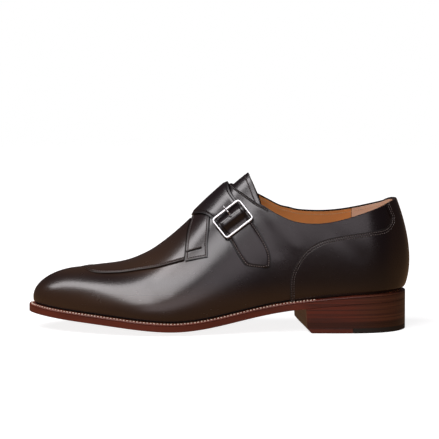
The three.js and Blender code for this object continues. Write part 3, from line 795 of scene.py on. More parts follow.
@lru_cache(maxsize=None)
def edge_leather(name="edge_leather", dark=0.0):
    """Stained and burnished edge of layered leather, with fine level lines where the heel is stacked."""
    f = Finish(name, Coat_Roughness=0.22)
    vector, (x, _, _) = f.place()
    cloud = f.noise(f.stretched(vector, (1.0, 1.0, 4.0)), 30.0, 3.0)
    lines = f.noise(f.stretched(vector, (8.0, 8.0, 900.0)), 1.0, 2.0, 0.6)
    stacked = x.ramp(0.05, 0.035)
    base = [c * (1 - dark) for c in colours().edge[:3]]
    colour = f.mix(cloud.ramp(0.3, 0.7), base, [base[0] * 0.72, base[1] * 0.7, base[2] * 0.72])
    colour = f.mix(x.ramp(0.015, -0.03), colour, [base[0] * 0.8, base[1] * 1.5, base[2] * 1.3])
    streak = lines.ramp(0.38, 0.62)
    colour = f.mix(streak * (stacked * 0.75 + 0.12), colour, [base[0] * 0.36, base[1] * 0.42, base[2] * 0.5])
    rise = lines * (stacked * 0.8 + 0.2)
    fibre = f.noise(f.stretched(vector, (300.0, 300.0, 900.0)), 1.0, 3.0, 0.6)
    f.set(Base_Color=colour, Roughness=(cloud - 0.5) * 0.15 + 0.4 + streak * 0.06, Coat_Weight=cloud * 0.35,
          Normal=f.bump(rise + fibre * 0.15, 0.00012, 0.5))
    return f.material


@lru_cache(maxsize=None)
def buckle_metal():
    """Polished nickel with hairline marks."""
    f = Finish("buckle_metal", Metallic=1.0)
    vector, _ = f.place()
    marks = f.noise(f.stretched(vector, (900.0, 120.0, 900.0)), 1.0, 3.0, 0.6)
    cloud = f.noise(vector, 250.0, 2.0)
    f.set(Base_Color=f.shades(cloud.ramp(0.3, 0.7), colours().metal, 0.93),
          Roughness=cloud * 0.06 + 0.36, Normal=f.bump(marks, 0.00002, 0.15))
    return f.material


@lru_cache(maxsize=None)
def rubber():
    """Matt moulded rubber."""
    f = Finish("heel_rubber")
    vector, _ = f.place()
    cloud = f.noise(vector, 60.0, 3.0)
    f.set(Base_Color=f.shades(cloud, colours().rubber, 0.75),
          Roughness=cloud * 0.12 + 0.56, Normal=f.bump(f.noise(vector, 1300.0, 2.0), 0.00006, 0.4))
    return f.material


@lru_cache(maxsize=None)
def thread(name, colour):
    """Waxed twisted thread."""
    f = Finish(name)
    vector, _ = f.place()
    twist = f.noise(f.stretched(vector, (1.0, 1.0, 1.6)), 2600.0, 1.0)
    f.set(Base_Color=f.shades(twist.ramp(0.35, 0.65), colour, 0.6),
          Roughness=twist * 0.1 + 0.45, Normal=f.bump(twist, 0.00005, 0.5))
    return f.material


# The pieces

STATIONS = 220
ROWS = 60
FOLD = 0.8  # how far the outside leather is turned over at the collar


def eased(t):
    t = min(1, max(0, t))
    return t * t * (3 - 2 * t)


def gathered(t, most=0.75):
    """Draws the ends of an even spacing closer together."""
    return t * (1 - most) + most * (1 - math.cos(math.pi * t)) / 2


def tuck(point, foot):
    """How far the upper draws in where it is sewn to the welt."""
    rise = max(0, point.z - foot.z)
    heel = eased((100 - point.x) / 20)
    return -(0.9 + 0.7 * heel) * math.exp(-(rise / (1.3 + 0.7 * heel)) ** 2)


def from_collar(angle, side, level):
    """Distance from the collar's edge, or a long way where there is none."""
    top = collar_level(angle, side)
    if top <= 0:
        return 99.0
    return (last_point(angle, side * level, side) - last_point(angle, side * top, side)).length


def upper_place(side, start=0.0):
    """Places of the upper's wall, from the welt to the collar or, with a start, to that far below it."""
    def place(u, v, off):
        angle = round(math.pi * u, 6)
        top = collar_level(angle, side)
        if start and top:
            run = (last_point(angle, side * top, side) - rib(angle, side)[0]).length
            top += (1 - top) * start / run
        across = side * (1 - gathered(v) * (1 - top))
        shift = off
        if off > -0.5:
            shift += tuck(last_point(angle, across, side), rib(angle, side)[0])
        elif not start:
            shift -= (sizes().wall - sizes().leather) / MM * eased(
                (FOLD + 0.3 - from_collar(angle, side, abs(across))) / 0.5)
        return on_last(angle, across, shift)
    return place


@lru_cache(maxsize=None)
def collar_places(side, down=0.0):
    """Places along the collar, from the heel to the ridge, or below it by a distance."""
    made = []
    for k in range(401):
        angle = round(math.pi * 0.55 * k / 400, 6)
        level = collar_level(angle, side)
        if level > 0:
            run = (last_point(angle, side * level, side) - rib(angle, side)[0]).length
            made.append((angle, side * (level + (1 - level) * down / run)))
    return tuple(made)


def collar_row(side):
    """Places of the row of stitches below the collar, on the front of the quarter."""
    return [place for place in collar_places(side, COLLAR_ROW) if place[0] > COLLAR_ROW_START]


def foot_points(off=0.0):
    angles = [math.pi * k / 600 for k in range(601)]
    return [on_last(angle, side, off) for angle in angles for side in (1, -1)]


def make_upper():
    s = sizes()
    grids = [(STATIONS, ROWS, upper_place(side)) for side in (1, -1)]
    piece = finished(skin(grids, -s.leather / MM, 0.0), "upper_leather", calf(), "upper", slot="upper_calf",
                     bevel=0.00035)
    edge = [on_last(*place, 0) for side in (1, -1) for place in collar_places(side)]
    seam = [on_last(*place, 0) for side in (1, -1) for place in collar_row(side)]
    # seat and slot mark where calf() paints shadow: the groove at the welt and the seam over the tongue.
    marked(piece, edge=edge, seat=foot_points(), slot=seam)
    grids = [(110, 34, upper_place(side, FOLD - 0.1)) for side in (1, -1)]
    finished(skin(grids, -s.wall / MM, -s.leather / MM - 0.03), "lining", lining_leather(),
             slot="insole_leather", bevel=0.0003)


def side_line(points, side, smooth=True, count=60):
    return traced(flowing(points, count) if smooth else straight(points, count), side)


def over_ridge(points, smooth=True):
    """A line from the outer side over the ridge to the inner side."""
    one, other = side_line(points, 1, smooth), side_line(points, -1, smooth)
    middle = (one[-1][0] + other[-1][0]) / 2
    return Line(one[:-1] + [(middle, 0.0)] + other[-2::-1])


@lru_cache(maxsize=None)
def apron_lines():
    back = over_ridge(APRON_BACK)
    edges = {side: side_line(APRON_EDGE, side) for side in (1, -1)}
    tip = (edges[1][-1][0] + edges[-1][-1][0]) / 2
    lines = {}
    for side in (1, -1):
        start = back.places[0 if side > 0 else -1]
        lines[side] = Line([start] + edges[side][1:-1] + [(tip, 0.0)])
    return back, lines[1], lines[-1]


@lru_cache(maxsize=None)
def strip_lines():
    rear, front = over_ridge(STRIP_REAR), over_ridge(STRIP_FRONT)
    return rear, front, Line([rear.places[0], front.places[0]]), Line([rear.places[-1], front.places[-1]])


@lru_cache(maxsize=None)
def counter_line(side):
    """The counter's seam from the welt to the collar."""
    places = []
    for angle, across in side_line(COUNTER_EDGE, side, count=120):
        top = collar_level(round(angle, 6), side)
        if abs(across) < top:
            places.append((angle, side * top))
            break
        if not places or abs(across) < 1:
            places.append((angle, across))
    places[0] = (places[1][0], side * 1.0)
    return Line(places)


def field_points(lines, off):
    """Points along lines on the last, close enough to measure from."""
    made = []
    for line in lines:
        count = max(2, int(line.length / 0.0004))
        for k in range(count + 1):
            made.append(on_last(*line.at(k / count), off))
    return made


def spread(field):
    """The width of a field at each share along it."""
    @lru_cache(maxsize=None)
    def width(u):
        points = [on_last(*field(u, k / 10), 0) for k in range(11)]
        return sum((b - a).length for a, b in zip(points, points[1:])) / MM
    return width


def make_panels():
    s = sizes()
    low, high = s.gap / MM, (s.gap + s.overlay) / MM
    make_apron(low, high)
    make_strip(low, high)
    make_counter(low, high)


def make_apron(low, high):
    back, outer, inner = apron_lines()
    tip = outer.at(1)
    field = patch(back.at, lambda v: tip, outer.at, inner.at)
    width = spread(field)

    def place(u, v, off):
        """Raised to a lip along the seam, and skived thin where the seam turns round the toe."""
        v = gathered(v, 0.8)
        flat = eased((u - 0.62) / 0.36)
        shift = off - flat * (0.45 if off < high else 1.0)
        if off == high:
            away = min(v, 1 - v) * width(round(u, 5))
            shift += 0.4 * (1 - flat) * math.exp(-((away - 0.8) / 0.6) ** 2)
        return on_last(*field(u, v), shift)
    piece = finished(skin([(130, 96, place)], low, high), "apron_leather", calf(rows=(APRON_ROW,)), "apron",
                     slot="upper_calf", bevel=0.0005, segments=4)
    marked(piece, edge=field_points((outer, inner), high))


SLOT = ((174.1, 0.435), (163.5, 0.48))  # the bar tack's slot in the saddle strip: at and across


def slot_points():
    (a0, c0), (a1, c1) = SLOT
    return [last_point(FEATHER.angle(a0 + (a1 - a0) * k / 30), c0 + (c1 - c0) * k / 30) for k in range(31)]


def make_strip(low, high):
    rear, front, foot, far = strip_lines()
    field = patch(rear.at, front.at, foot.at, far.at)
    slot = slot_points()

    def place(u, v, off):
        angle, across = field(gathered(u, 0.5), v)
        shift = off
        if off == high and 0.3 < across:
            here = last_point(angle, across)
            near = min((here - point).length for point in slot)
            shift -= 0.75 * eased((0.95 - near) / 0.6)
        return on_last(angle, across, shift)
    piece = finished(skin([(40, 270, place)], low, high), "saddle_strip_leather", calf(rows=(STRIP_ROW,)),
                     "saddle_strip", slot="upper_calf", bevel=0.00028, segments=3)
    # slot marks where calf() paints shadow in the bar tack's slot.
    marked(piece, edge=field_points(strip_lines(), high), slot=[placed(point) for point in slot])


def make_counter(low, high):
    grids = []
    for side in (1, -1):
        seam = counter_line(side)
        start, end = seam.places[0], seam.places[-1]
        heel = Line([(0.0, side * 1.0), (0.0, side * collar_level(0.0, side))])
        foot = Line([(start[0] * (1 - k / 30), side * 1.0) for k in range(31)])
        tops = [round(end[0] * (1 - k / 30), 6) for k in range(31)]
        top = Line([(angle, side * collar_level(angle, side)) for angle in tops])
        grids.append((64, 64, counter_place(patch(seam.at, heel.at, foot.at, top.at), side)))
    piece = finished(skin(grids, low, high), "heel_counter_leather", calf(rows=COUNTER_ROWS), "heel_counter",
                     slot="upper_calf", bevel=0.0003)
    # seat marks where calf() paints shadow in the groove at the welt.
    marked(piece, edge=field_points([counter_line(1), counter_line(-1)], high), seat=foot_points(high))


def counter_place(field, side):
    def place(u, v, off):
        angle, across = field(u, gathered(v, 0.6))
        angle = max(0.0, angle)
        shift = off + tuck(last_point(angle, across, side), rib(round(angle, 7), side)[0])
        return on_last(angle, across, shift)
    return place


def tongue_field():
    rear, front = over_ridge(TONGUE_REAR), over_ridge(TONGUE_FRONT, smooth=False)
    ends = [Line([rear.places[i], front.places[i]]) for i in (0, -1)]
    return rear, patch(rear.at, front.at, ends[0].at, ends[1].at)


def make_tongue():
    s = sizes()
    rear, field = tongue_field()
    high = -(s.wall + s.gap) / MM

    def place(u, v, off):
        return on_last(*field(u * (0.4 + 0.6 * u), v), off)
    piece = finished(skin([(44, 90, place)], high - 2, high), "tongue_leather", calf(rows=(TONGUE_ROW,)), "tongue",
                     slot="upper_calf", bevel=0.0005, segments=3)
    marked(piece, edge=field_points([rear], high))


def strap_frame(across, share):
    at = STRAP_LINE["rear"](across) * (1 - share) + STRAP_LINE["front"](across) * share
    angle = FEATHER.angle(at)
    place, normal = last_point(angle, across), last_normal(angle, across)
    down = (place - BUCKLE_CENTRE).dot(BUCKLE_D)
    lift = STRAP_LINE["lift"](across)
    hump = (BAR_HEIGHT + EYE_RADIUS + 0.3 - lift) * math.exp(-abs(down / 4.3) ** 2.6) if across > 0.1 else 0
    return place, normal, lift + hump


def strap_point(across, share, off):
    place, normal, lift = strap_frame(across, share)
    return placed(place + normal * (lift + off))


@lru_cache(maxsize=None)
def strap_width(across):
    return (strap_point(across, 1, 0) - strap_point(across, 0, 0)).length / MM


def rolled(across, share, off):
    """A place on the strap, which rolls down at its edges, most of all over the ridge."""
    near = 1 - eased(min(share, 1 - share) * strap_width(round(across, 5)) / 4)
    drop = near * (0.55 * math.exp(-(across / 0.22) ** 2) + (0.5 if off else 0))
    return strap_point(across, share, off - drop)


def cut_with(piece, tools):
    """Cuts closed shapes out of a piece."""
    for bm in tools:
        mesh = bpy.data.meshes.new("cutter")
        bm.to_mesh(mesh)
        bm.free()
        cutter = bpy.data.objects.new("cutter", mesh)
        bpy.context.scene.collection.objects.link(cutter)
        cut = piece.modifiers.new("cut", "BOOLEAN")
        cut.object = cutter
        cut.solver = "EXACT"
        made = bpy.data.meshes.new_from_object(piece.evaluated_get(bpy.context.evaluated_depsgraph_get()))
        piece.modifiers.remove(cut)
        piece.data = made
        bpy.data.objects.remove(cutter)


def pin(w, d, low, high, radius, longer=1.0):
    """A round cutter that stands on the buckle's own frame and may be longer down the strap."""
    bm = bmesh.new()
    bmesh.ops.create_cone(bm, cap_ends=True, segments=20, radius1=radius, radius2=radius, depth=high - low)
    for v in bm.verts:
        v.co = on_buckle(w + v.co.x, d + v.co.y * longer, (low + high) / 2 + v.co.z)
    bmesh.ops.recalc_face_normals(bm, faces=bm.faces)
    return bm


def make_strap():
    thick = sizes().strap / MM

    def place(u, v, off):
        return rolled(STRAP_SEAM + STRAP_SPAN * v, gathered(u, 0.8), off)
    # The strap's rim is darkened more: its edges' dye and a painted shadow along them.
    piece = finished(skin([(30, 190, place)], 0.0, thick), "strap_leather", calf(rows=(STRAP_GROOVE,), rim_dye_and_shade=0.9),
                     "strap", slot="upper_calf")
    hump = (strap_point(0.39 + 0.06 * k / 20, j / 20, thick) for k in range(21) for j in range(21))
    top = max(hump, key=lambda p: p.dot(BUCKLE_N))
    level = (top / MM + Vector((HEEL_MIDDLE, 0, 0)) - BUCKLE_CENTRE).dot(BUCKLE_N)
    spare = pin(*SPARE_HOLE, level - 1.3, level + 3, HOLE_RADIUS)
    for_prong = pin(*PRONG_HOLE, 0, 9, HOLE_RADIUS, 1.35)
    cut_with(piece, [spare, for_prong])
    rounded(piece, 0.0005, 3)
    piece.data.shade_smooth()
    edges = []
    for k in range(1500):
        across = STRAP_SEAM + STRAP_SPAN * k / 1499
        edges += [rolled(across, share, thick) for share in (0, 1)]
    edges += [rolled(STRAP_TIP, k / 20, thick) for k in range(21)]
    marked(piece, edge=edges)


def marked(piece, **lines):
    """Gives each vertex its distance from the lines that its leather's finish follows: the edge for the dyed and
    shaded rim and the pressed rows, seat and slot for painted shadow.
    """
    for name in ("edge", "seat", "slot"):
        distance_mark(piece, name, lines.get(name, [Vector((9, 9, 9))]))


def verts_of(made):
    return [g for g in made["geom"] if isinstance(g, bmesh.types.BMVert)]


def faces_of(made):
    return [g for g in made["geom"] if isinstance(g, bmesh.types.BMFace)]


def edges_at(verts):
    """The edges at some vertices, each once and always in the same order."""
    return list(dict.fromkeys(e for v in verts for e in v.link_edges))


def make_buckle():
    bm = bmesh.new()
    bmesh.ops.create_grid(bm, x_segments=1, y_segments=1, size=0.5)
    bmesh.ops.scale(bm, vec=(FRAME_LONG, FRAME_SHORT, 1), verts=bm.verts)
    bmesh.ops.bevel(bm, geom=bm.verts[:], offset=FRAME_CORNER, offset_type="OFFSET", segments=7, profile=0.5,
                    affect="VERTICES", material=-1)
    middle = bm.faces[:]
    bmesh.ops.inset_region(bm, faces=middle, thickness=RAIL, use_boundary=True, use_even_offset=True)
    bmesh.ops.delete(bm, geom=middle, context="FACES")
    grown = bmesh.ops.extrude_face_region(bm, geom=bm.faces[:])
    bmesh.ops.translate(bm, vec=(0, 0, FRAME_THICK), verts=verts_of(grown))
    bmesh.ops.translate(bm, vec=(0, FRAME_DOWN, FRAME_HEIGHT - FRAME_THICK / 2), verts=bm.verts)
    bmesh.ops.recalc_face_normals(bm, faces=bm.faces)
    rims = [e for e in bm.edges if len(e.link_faces) == 2 and e.calc_face_angle() > 1.2]
    bmesh.ops.bevel(bm, geom=rims, offset=0.62, offset_type="OFFSET", segments=4, profile=0.5, affect="EDGES",
                    material=-1)
    bar = bmesh.ops.create_cone(bm, cap_ends=True, segments=16, radius1=BAR_RADIUS, radius2=BAR_RADIUS,
                                depth=BAR_LONG)["verts"]
    bmesh.ops.rotate(bm, cent=(0, 0, 0), matrix=Matrix.Rotation(math.pi / 2, 3, "Y"), verts=bar)
    bmesh.ops.translate(bm, vec=(0, 0, BAR_HEIGHT), verts=bar)
    for way in (-1, 1):
        leg = bmesh.ops.create_cube(bm, size=1.0)["verts"]
        bmesh.ops.scale(bm, vec=(LEG_WIDE, LEG_LONG, FRAME_HEIGHT - BAR_HEIGHT + 0.4), verts=leg)
        bmesh.ops.translate(bm, vec=(way * LEG_SIDE, 0, (FRAME_HEIGHT + BAR_HEIGHT) / 2 - 0.3), verts=leg)
        bmesh.ops.bevel(bm, geom=edges_at(leg), offset=0.45, offset_type="OFFSET", segments=3, profile=0.5,
                        affect="EDGES", material=-1)
    bmesh.ops.recalc_face_normals(bm, faces=bm.faces)
    for v in bm.verts:
        v.co = on_buckle(*v.co)
    finished(bm, "buckle_frame_metal", buckle_metal(), "buckle_frame", slot="buckle_metal")
    make_prong()


def make_prong():
    bm = bmesh.new()
    profile = bm.verts.layers.float_vector.new("profile")
    path = flowing(PRONG, 18)
    ring = bmesh.ops.create_circle(bm, cap_ends=True, segments=14, radius=1.0)["verts"]
    for v in ring:
        v[profile] = (v.co.x * PRONG_WIDE, v.co.y * PRONG_TALL, 0)
    cap = bm.faces[:]
    for i, (down, off) in enumerate(path):
        ahead = (path[min(i + 1, len(path) - 1)] - path[max(i - 1, 0)]).normalized()
        thin = (1 - 0.25 * i / len(path)) * (0.5 if i == len(path) - 1 else 1)
        if i:
            grown = bmesh.ops.extrude_face_region(bm, geom=cap)
            cap, ring = faces_of(grown), verts_of(grown)
        for v in ring:
            wide, tall = v[profile].x * thin, v[profile].y * thin
            v.co = Vector((wide + PRONG_SIDE, down - ahead.y * tall, off + ahead.x * tall))
    eye = bmesh.ops.create_circle(bm, segments=10, radius=EYE_WIRE)["verts"]
    for v in eye:
        v.co = Vector((v.co.x * 2 + PRONG_SIDE, 1.25 + v.co.y, BAR_HEIGHT))
    bmesh.ops.spin(bm, geom=edges_at(eye) + eye, cent=(PRONG_SIDE, 0, BAR_HEIGHT), axis=(1, 0, 0),
                   angle=2 * math.pi, steps=20, use_merge=True)
    bmesh.ops.remove_doubles(bm, verts=bm.verts, dist=1e-4)
    bmesh.ops.recalc_face_normals(bm, faces=bm.faces)
    for v in bm.verts:
        v.co = on_buckle(*v.co)
    bm.verts.layers.float_vector.remove(bm.verts.layers.float_vector["profile"])
    finished(bm, "buckle_prong_metal", buckle_metal(), "buckle_prong", slot="buckle_metal")


def sole_point(at, y, height):
    return placed(Vector((at, y, max(0, underside(at, y)) + height)))


def plate(line, low, high, columns=130, rows=44):
    """A layer of the sole that fills an outline."""
    def place(u, v, off):
        side = 1 if v > 0.5 else -1
        at, y = line.point(math.pi * u, side)
        return sole_point(at, y * abs(2 * v - 1), off)
    return skin([(columns, rows, place)], low, high)


def make_sole():
    s = sizes()
    sole, welt, gap = s.sole / MM, s.welt / MM, s.gap / MM
    finished(plate(SOLE_LINE, 0.0, sole + gap - 0.02), "outsole_leather", edge_leather(), "outsole",
             slot="sole_leather", bevel=0.0004)
    inside = Outline(lambda at: SECTION["margin"](at) + INSOLE_INSET)
    finished(plate(inside, sole + gap, sole + gap + welt + s.insole / MM, 80, 30), "insole_leather",
             lining_leather(), "insole", slot="insole_leather", bevel=0.0003)
    ring = Outline(lambda at: SECTION["margin"](at) + WELT_INSET)

    def around(side):
        def place(u, v, off):
            outer = SOLE_LINE.point(math.pi * u, side)
            inner = ring.point(math.pi * u, side)
            at, y = (outer[i] + (inner[i] - outer[i]) * v for i in (0, 1))
            return sole_point(at, y, off - (WELT_SLOPE * (1 - v) if off > sole + gap else 0))
        return place
    finished(skin([(STATIONS, 6, around(side)) for side in (1, -1)], sole + gap, sole + gap + welt),
             "welt_leather", edge_leather(), "welt", slot="sole_leather", bevel=0.0005)


def breast(z, y):
    """Front of the heel at a height and a place across."""
    for (z0, x0), (z1, x1) in zip(BREAST, BREAST[1:]):
        if z <= z1:
            break
    return x0 + (x1 - x0) * (z - z0) / (z1 - z0) + BREAST_SLANT * (BREAST_HALF - y)


def heel_layer(low, high, start=None, end=None):
    """A layer of the heel between two heights, from the back or a start to the breast or an end."""
    def place(u, v, off):
        w = 2 * v - 1
        side = 1 if w > 0 else -1
        front = breast(min(off, BREAST_TOP), w * BREAST_HALF) if end is None else end
        back = BACK if start is None else start
        share = u if start is not None else 1 - math.cos(math.pi * u / 2)
        at = back + (front - back) * share
        y = w * SOLE_LINE.half[side](max(at, BACK))
        z = underside(at, y) - 0.3 if off > SOLE_MEETS else off
        return placed(Vector((at, y, z)))
    return skin([(36, 28, place)], low, high)


def make_heel():
    for i, (low, high) in enumerate(zip(LIFTS, LIFTS[1:])):
        finished(heel_layer(low + 0.02, high), "heel_lift_leather_%d" % (i + 1),
                 edge_leather("dark_edge", 0.55) if i == 0 else edge_leather(), "heel_lift_%d" % (i + 1),
                 slot="heel_leather", bevel=0.0002)
    finished(heel_layer(0.0, 4.0, end=RUBBER_END), "top_piece_rubber_corner", rubber(), "top_piece_rubber",
             slot="heel_rubber", bevel=0.0004)
    finished(heel_layer(0.0, 4.0, start=LEATHER_START), "top_piece_leather_front", edge_leather(),
             "top_piece_leather", slot="heel_leather", bevel=0.0003)


# Stitching

@lru_cache(maxsize=None)
def one_stitch():
    """The shape that every stitch is copied from."""
    bm = bmesh.new()
    bmesh.ops.create_uvsphere(bm, u_segments=8, v_segments=5, radius=1.0)
    mesh = bpy.data.meshes.new("one_stitch")
    bm.to_mesh(mesh)
    bm.free()
    return mesh


def stitch_row(bm, points, normals, pitch, wide, long_share=0.74):
    """Lays stitches end to end along points on a surface."""
    run = [0.0]
    for a, b in zip(points, points[1:]):
        run.append(run[-1] + (b - a).length)
    count = max(1, int(run[-1] / pitch))
    i = 1
    for k in range(count):
        goal = run[-1] * (k + 0.5) / count
        while i < len(run) - 1 and run[i] < goal:
            i += 1
        t = (goal - run[i - 1]) / max(1e-9, run[i] - run[i - 1])
        place = points[i - 1].lerp(points[i], t)
        along = (points[i] - points[i - 1]).normalized()
        up = normals[i - 1].lerp(normals[i], t).normalized()
        side = up.cross(along).normalized()
        up = along.cross(side)
        turn = Matrix((along, side, up)).transposed().to_4x4()
        size = Matrix.Diagonal((pitch * long_share / 2, wide / 2, wide / 2, 1))
        shape = one_stitch().copy()
        shape.transform(Matrix.Translation(place) @ turn @ size)
        bm.from_mesh(shape)
        bpy.data.meshes.remove(shape)


def row_on_last(bm, places, off, pitch, wide, inward=False):
    points = [on_last(angle, across, off) for angle, across in places]
    way = -1 if inward else 1
    normals = [last_normal(angle, across) * way for angle, across in places]
    stitch_row(bm, points, normals, pitch, wide)


def beside(line, inset, side):
    """A line at a distance in millimetres from another, to its left or its right."""
    made = []
    count = int(line.length / 0.0012)
    step = 1e-3
    for k in range(count + 1):
        here = line.at(k / count)
        ahead, behind = line.at(min(1, k / count + 0.01)), line.at(max(0, k / count - 0.01))
        along = (on_last(*ahead, 0) - on_last(*behind, 0)).normalized()
        move = last_normal(*here).cross(along).normalized() * side * inset * MM
        point = on_last(*here, 0)
        turned = (on_last(here[0] + step, here[1], 0) - point) / step
        down = -step if here[1] > 0 else step
        lowered = (on_last(here[0], here[1] + down, 0) - point) / down
        a, b, c = turned.dot(turned), turned.dot(lowered), lowered.dot(lowered)
        p, q = turned.dot(move), lowered.dot(move)
        det = a * c - b * b
        made.append((max(0.001, here[0] + (p * c - q * b) / det),
                     min(1, max(-1, here[1] + (q * a - p * b) / det))))
    return made


def make_stitching():
    stitch_upper()
    stitch_strap()
    stitch_lining()
    stitch_welt()


def stitch_upper():
    s = sizes()
    pitch, wide = s.stitch, s.thread
    high = (s.gap + s.overlay) / MM
    bm = bmesh.new()
    _, outer, inner = apron_lines()
    row_on_last(bm, beside(outer, APRON_ROW, -1)[3:-14], high - 0.05, pitch, wide)
    row_on_last(bm, beside(inner, APRON_ROW, 1)[3:-14], high - 0.05, pitch, wide)
    for side in (1, -1):
        for inset in COUNTER_ROWS:
            row_on_last(bm, beside(counter_line(side), inset, -side), high, pitch, wide)
        row_on_last(bm, collar_row(side), 0.0, pitch, wide)
    rear, front, foot, far = strip_lines()
    row_on_last(bm, beside(rear, STRIP_ROW, 1), high, pitch, wide)
    row_on_last(bm, beside(front, STRIP_ROW, -1), high, pitch, wide)
    row_on_last(bm, beside(foot, STRIP_ROW, -1)[1:-1], high, pitch, wide)
    row_on_last(bm, beside(far, STRIP_ROW, 1)[1:-1], high, pitch, wide)
    slot = slot_points()
    for shift in (1.5, -1.5):
        points = [placed(point + Vector((0, 0, shift))) + Vector((0, high * MM, 0)) for point in slot]
        stitch_row(bm, points, [Vector((0, 1, 0.3))] * len(points), pitch * 0.7, wide)
    row_on_last(bm, beside(tongue_field()[0], TONGUE_ROW, 1), -(s.wall + s.gap) / MM, pitch, wide)
    finished(bm, "upper_stitching", thread("dark_thread", (0.17, 0.14, 0.135)), slot="upper_calf")


def stitch_strap():
    """A row down one edge of the strap's tail and back along the other."""
    s = sizes()
    thick = s.strap / MM
    down = [TAIL_START + TAIL_RUN * k / 60 for k in range(61)]
    tail = [(across, 1 - STRAP_ROW / strap_width(across)) for across in down]
    tail += [(across, STRAP_ROW / strap_width(across)) for across in reversed(down)]
    points = [rolled(across, share, thick + 0.1) for across, share in tail]
    normals = [strap_frame(across, share)[1] for across, share in tail]
    bm = bmesh.new()
    stitch_row(bm, points, normals, s.stitch, s.thread)
    finished(bm, "strap_stitching", thread("strap_thread", (0.30, 0.25, 0.24)), slot="upper_calf")


def stitch_lining():
    s = sizes()
    bm = bmesh.new()
    for side in (1, -1):
        row_on_last(bm, collar_places(side, LINING_ROW), -s.wall / MM, s.stitch, s.thread, inward=True)
    finished(bm, "lining_stitching", thread("tan_thread", (0.80, 0.55, 0.32)), slot="insole_leather")


def stitch_welt():
    """Coarser stitches along the middle of the welt's top."""
    s = sizes()
    bm = bmesh.new()
    height = (s.sole + s.gap + s.welt) / MM
    line = Outline(lambda at: SECTION["margin"](at) * 0.52)
    angles = [WELT_ROW_START + (math.pi - WELT_ROW_START) * k / 400 for k in range(401)]
    for side in (1, -1):
        points = [sole_point(*line.point(angle, side), height - WELT_SLOPE * 0.66) for angle in angles]
        stitch_row(bm, points, [Vector((0, 0, 1))] * len(points), 0.0027, 0.0012, 0.7)
    finished(bm, "welt_stitching", thread("welt_thread", (0.85, 0.66, 0.52)), slot="sole_leather")


# The stage

SHOE_MIDDLE = 0.11
CAMERA_PLACE = (SHOE_MIDDLE, 2.47567, 0.40793)
CAMERA_GOAL = (0.1105, 0.0, 0.0873)
CAMERA_LENS = 254.4


def make_stage():
    """A long box of light over the toe, one over the side and a wide dim one behind the camera."""
    make_floor()
    make_world()
    lamps = (
        ("toe_light", (1.00, 0.19, 1.10), (1.00, 0.19, 0.0), 1.3, 0.38, 13.0, (1.0, 0.965, 0.985)),
        ("side_light", (0.44, 1.02, 1.10), (0.44, 1.02, 0.0), 0.5, 1.3, 16.0, (1.0, 0.965, 0.985)),
        ("front_fill", (-0.15, 3.0, 1.10), (0.06, 0.0, 0.06), 1.8, 1.0, 9.0, (1.0, 0.90, 0.95)),
    )
    for name, where, goal, wide, tall, power, tint in lamps:
        data = bpy.data.lights.new(name, "AREA")
        data.shape = "RECTANGLE"
        data.size, data.size_y, data.energy, data.color = wide, tall, power, tint
        lamp = bpy.data.objects.new(name, data)
        lamp.location = where
        lamp.rotation_euler = (Vector(goal) - Vector(where)).to_track_quat("-Z", "Y").to_euler()
        bpy.context.scene.collection.objects.link(lamp)
    make_camera()


def make_floor():
    """A round pale floor that fades into the backdrop."""
    bm = bmesh.new()
    bmesh.ops.create_circle(bm, cap_ends=True, segments=64, radius=1.6)
    mesh = bpy.data.meshes.new("studio_floor")
    bm.to_mesh(mesh)
    bm.free()
    floor = bpy.data.objects.new("studio_floor", mesh)
    bpy.context.scene.collection.objects.link(floor)
    f = Finish("studio_floor", Emission_Strength=1.0)
    vector, (x, y, _) = f.place()
    away = ((x - SHOE_MIDDLE) * (x - SHOE_MIDDLE) + y * y).root()
    f.set(Base_Color=f.mix(f.noise(vector, 3.0), (0.46, 0.46, 0.46), (0.44, 0.44, 0.44)), Roughness=0.9,
          Alpha=away.ramp(0.8, 1.5, 1.0, 0.0),
          Emission_Color=f.mix(away.ramp(0.14, 0.4), (0.86, 0.86, 0.86), (0.98, 0.98, 0.98)))
    mesh.materials.append(f.material)
    floor.visible_glossy = False
    floor.visible_diffuse = False


def make_world():
    """A white backdrop, and a dim studio with a brown floor for the leather to mirror."""
    world = bpy.data.worlds.new("studio")
    bpy.context.scene.world = world
    world.use_nodes = True
    nodes = Nodes(world.node_tree)
    way = nodes.add("ShaderNodeTexCoord", {}, {})[0]
    height = nodes.add("ShaderNodeSeparateXYZ", {}, {0: way})[2]
    share = nodes.add("ShaderNodeMapRange", {}, {"Value": height, "From Min": -0.24, "From Max": 0.12})[0]
    room = nodes.mix(share, (0.26, 0.15, 0.08), (0.050, 0.042, 0.047))
    seen = nodes.add("ShaderNodeLightPath", {}, {})[0]
    nodes.feed(world.node_tree.nodes["Background"].inputs["Color"], nodes.mix(seen, room, (1, 1, 1)))


def make_camera():
    """A long lens that looks at the outer side from a little above."""
    scene = bpy.context.scene
    data = bpy.data.cameras.new("camera")
    data.sensor_width = 36
    data.lens = CAMERA_LENS
    camera = bpy.data.objects.new("camera", data)
    camera.location = CAMERA_PLACE
    aim = Vector(CAMERA_GOAL) - camera.location
    camera.rotation_euler = aim.to_track_quat("-Z", "Y").to_euler()
    scene.collection.objects.link(camera)
    scene.camera = camera
    scene.view_settings.view_transform = "Standard"


# The add-on

class SHOE_OT_upper(bpy.types.Operator):
    """Makes the outside leather and its lining"""

    bl_idname = "shoe.upper"
    bl_label = "Upper"
    bl_options = {"REGISTER", "UNDO"}

    def execute(self, context):
        make_upper()
        return {"FINISHED"}


class SHOE_OT_panels(bpy.types.Operator):
    """Makes the apron, the saddle strip and the heel counter"""

    bl_idname = "shoe.panels"
    bl_label = "Panels"
    bl_options = {"REGISTER", "UNDO"}

    def execute(self, context):
        make_panels()
        return {"FINISHED"}


class SHOE_OT_tongue(bpy.types.Operator):
    """Makes the tongue"""

    bl_idname = "shoe.tongue"
    bl_label = "Tongue"
    bl_options = {"REGISTER", "UNDO"}

    def execute(self, context):
        make_tongue()
        return {"FINISHED"}


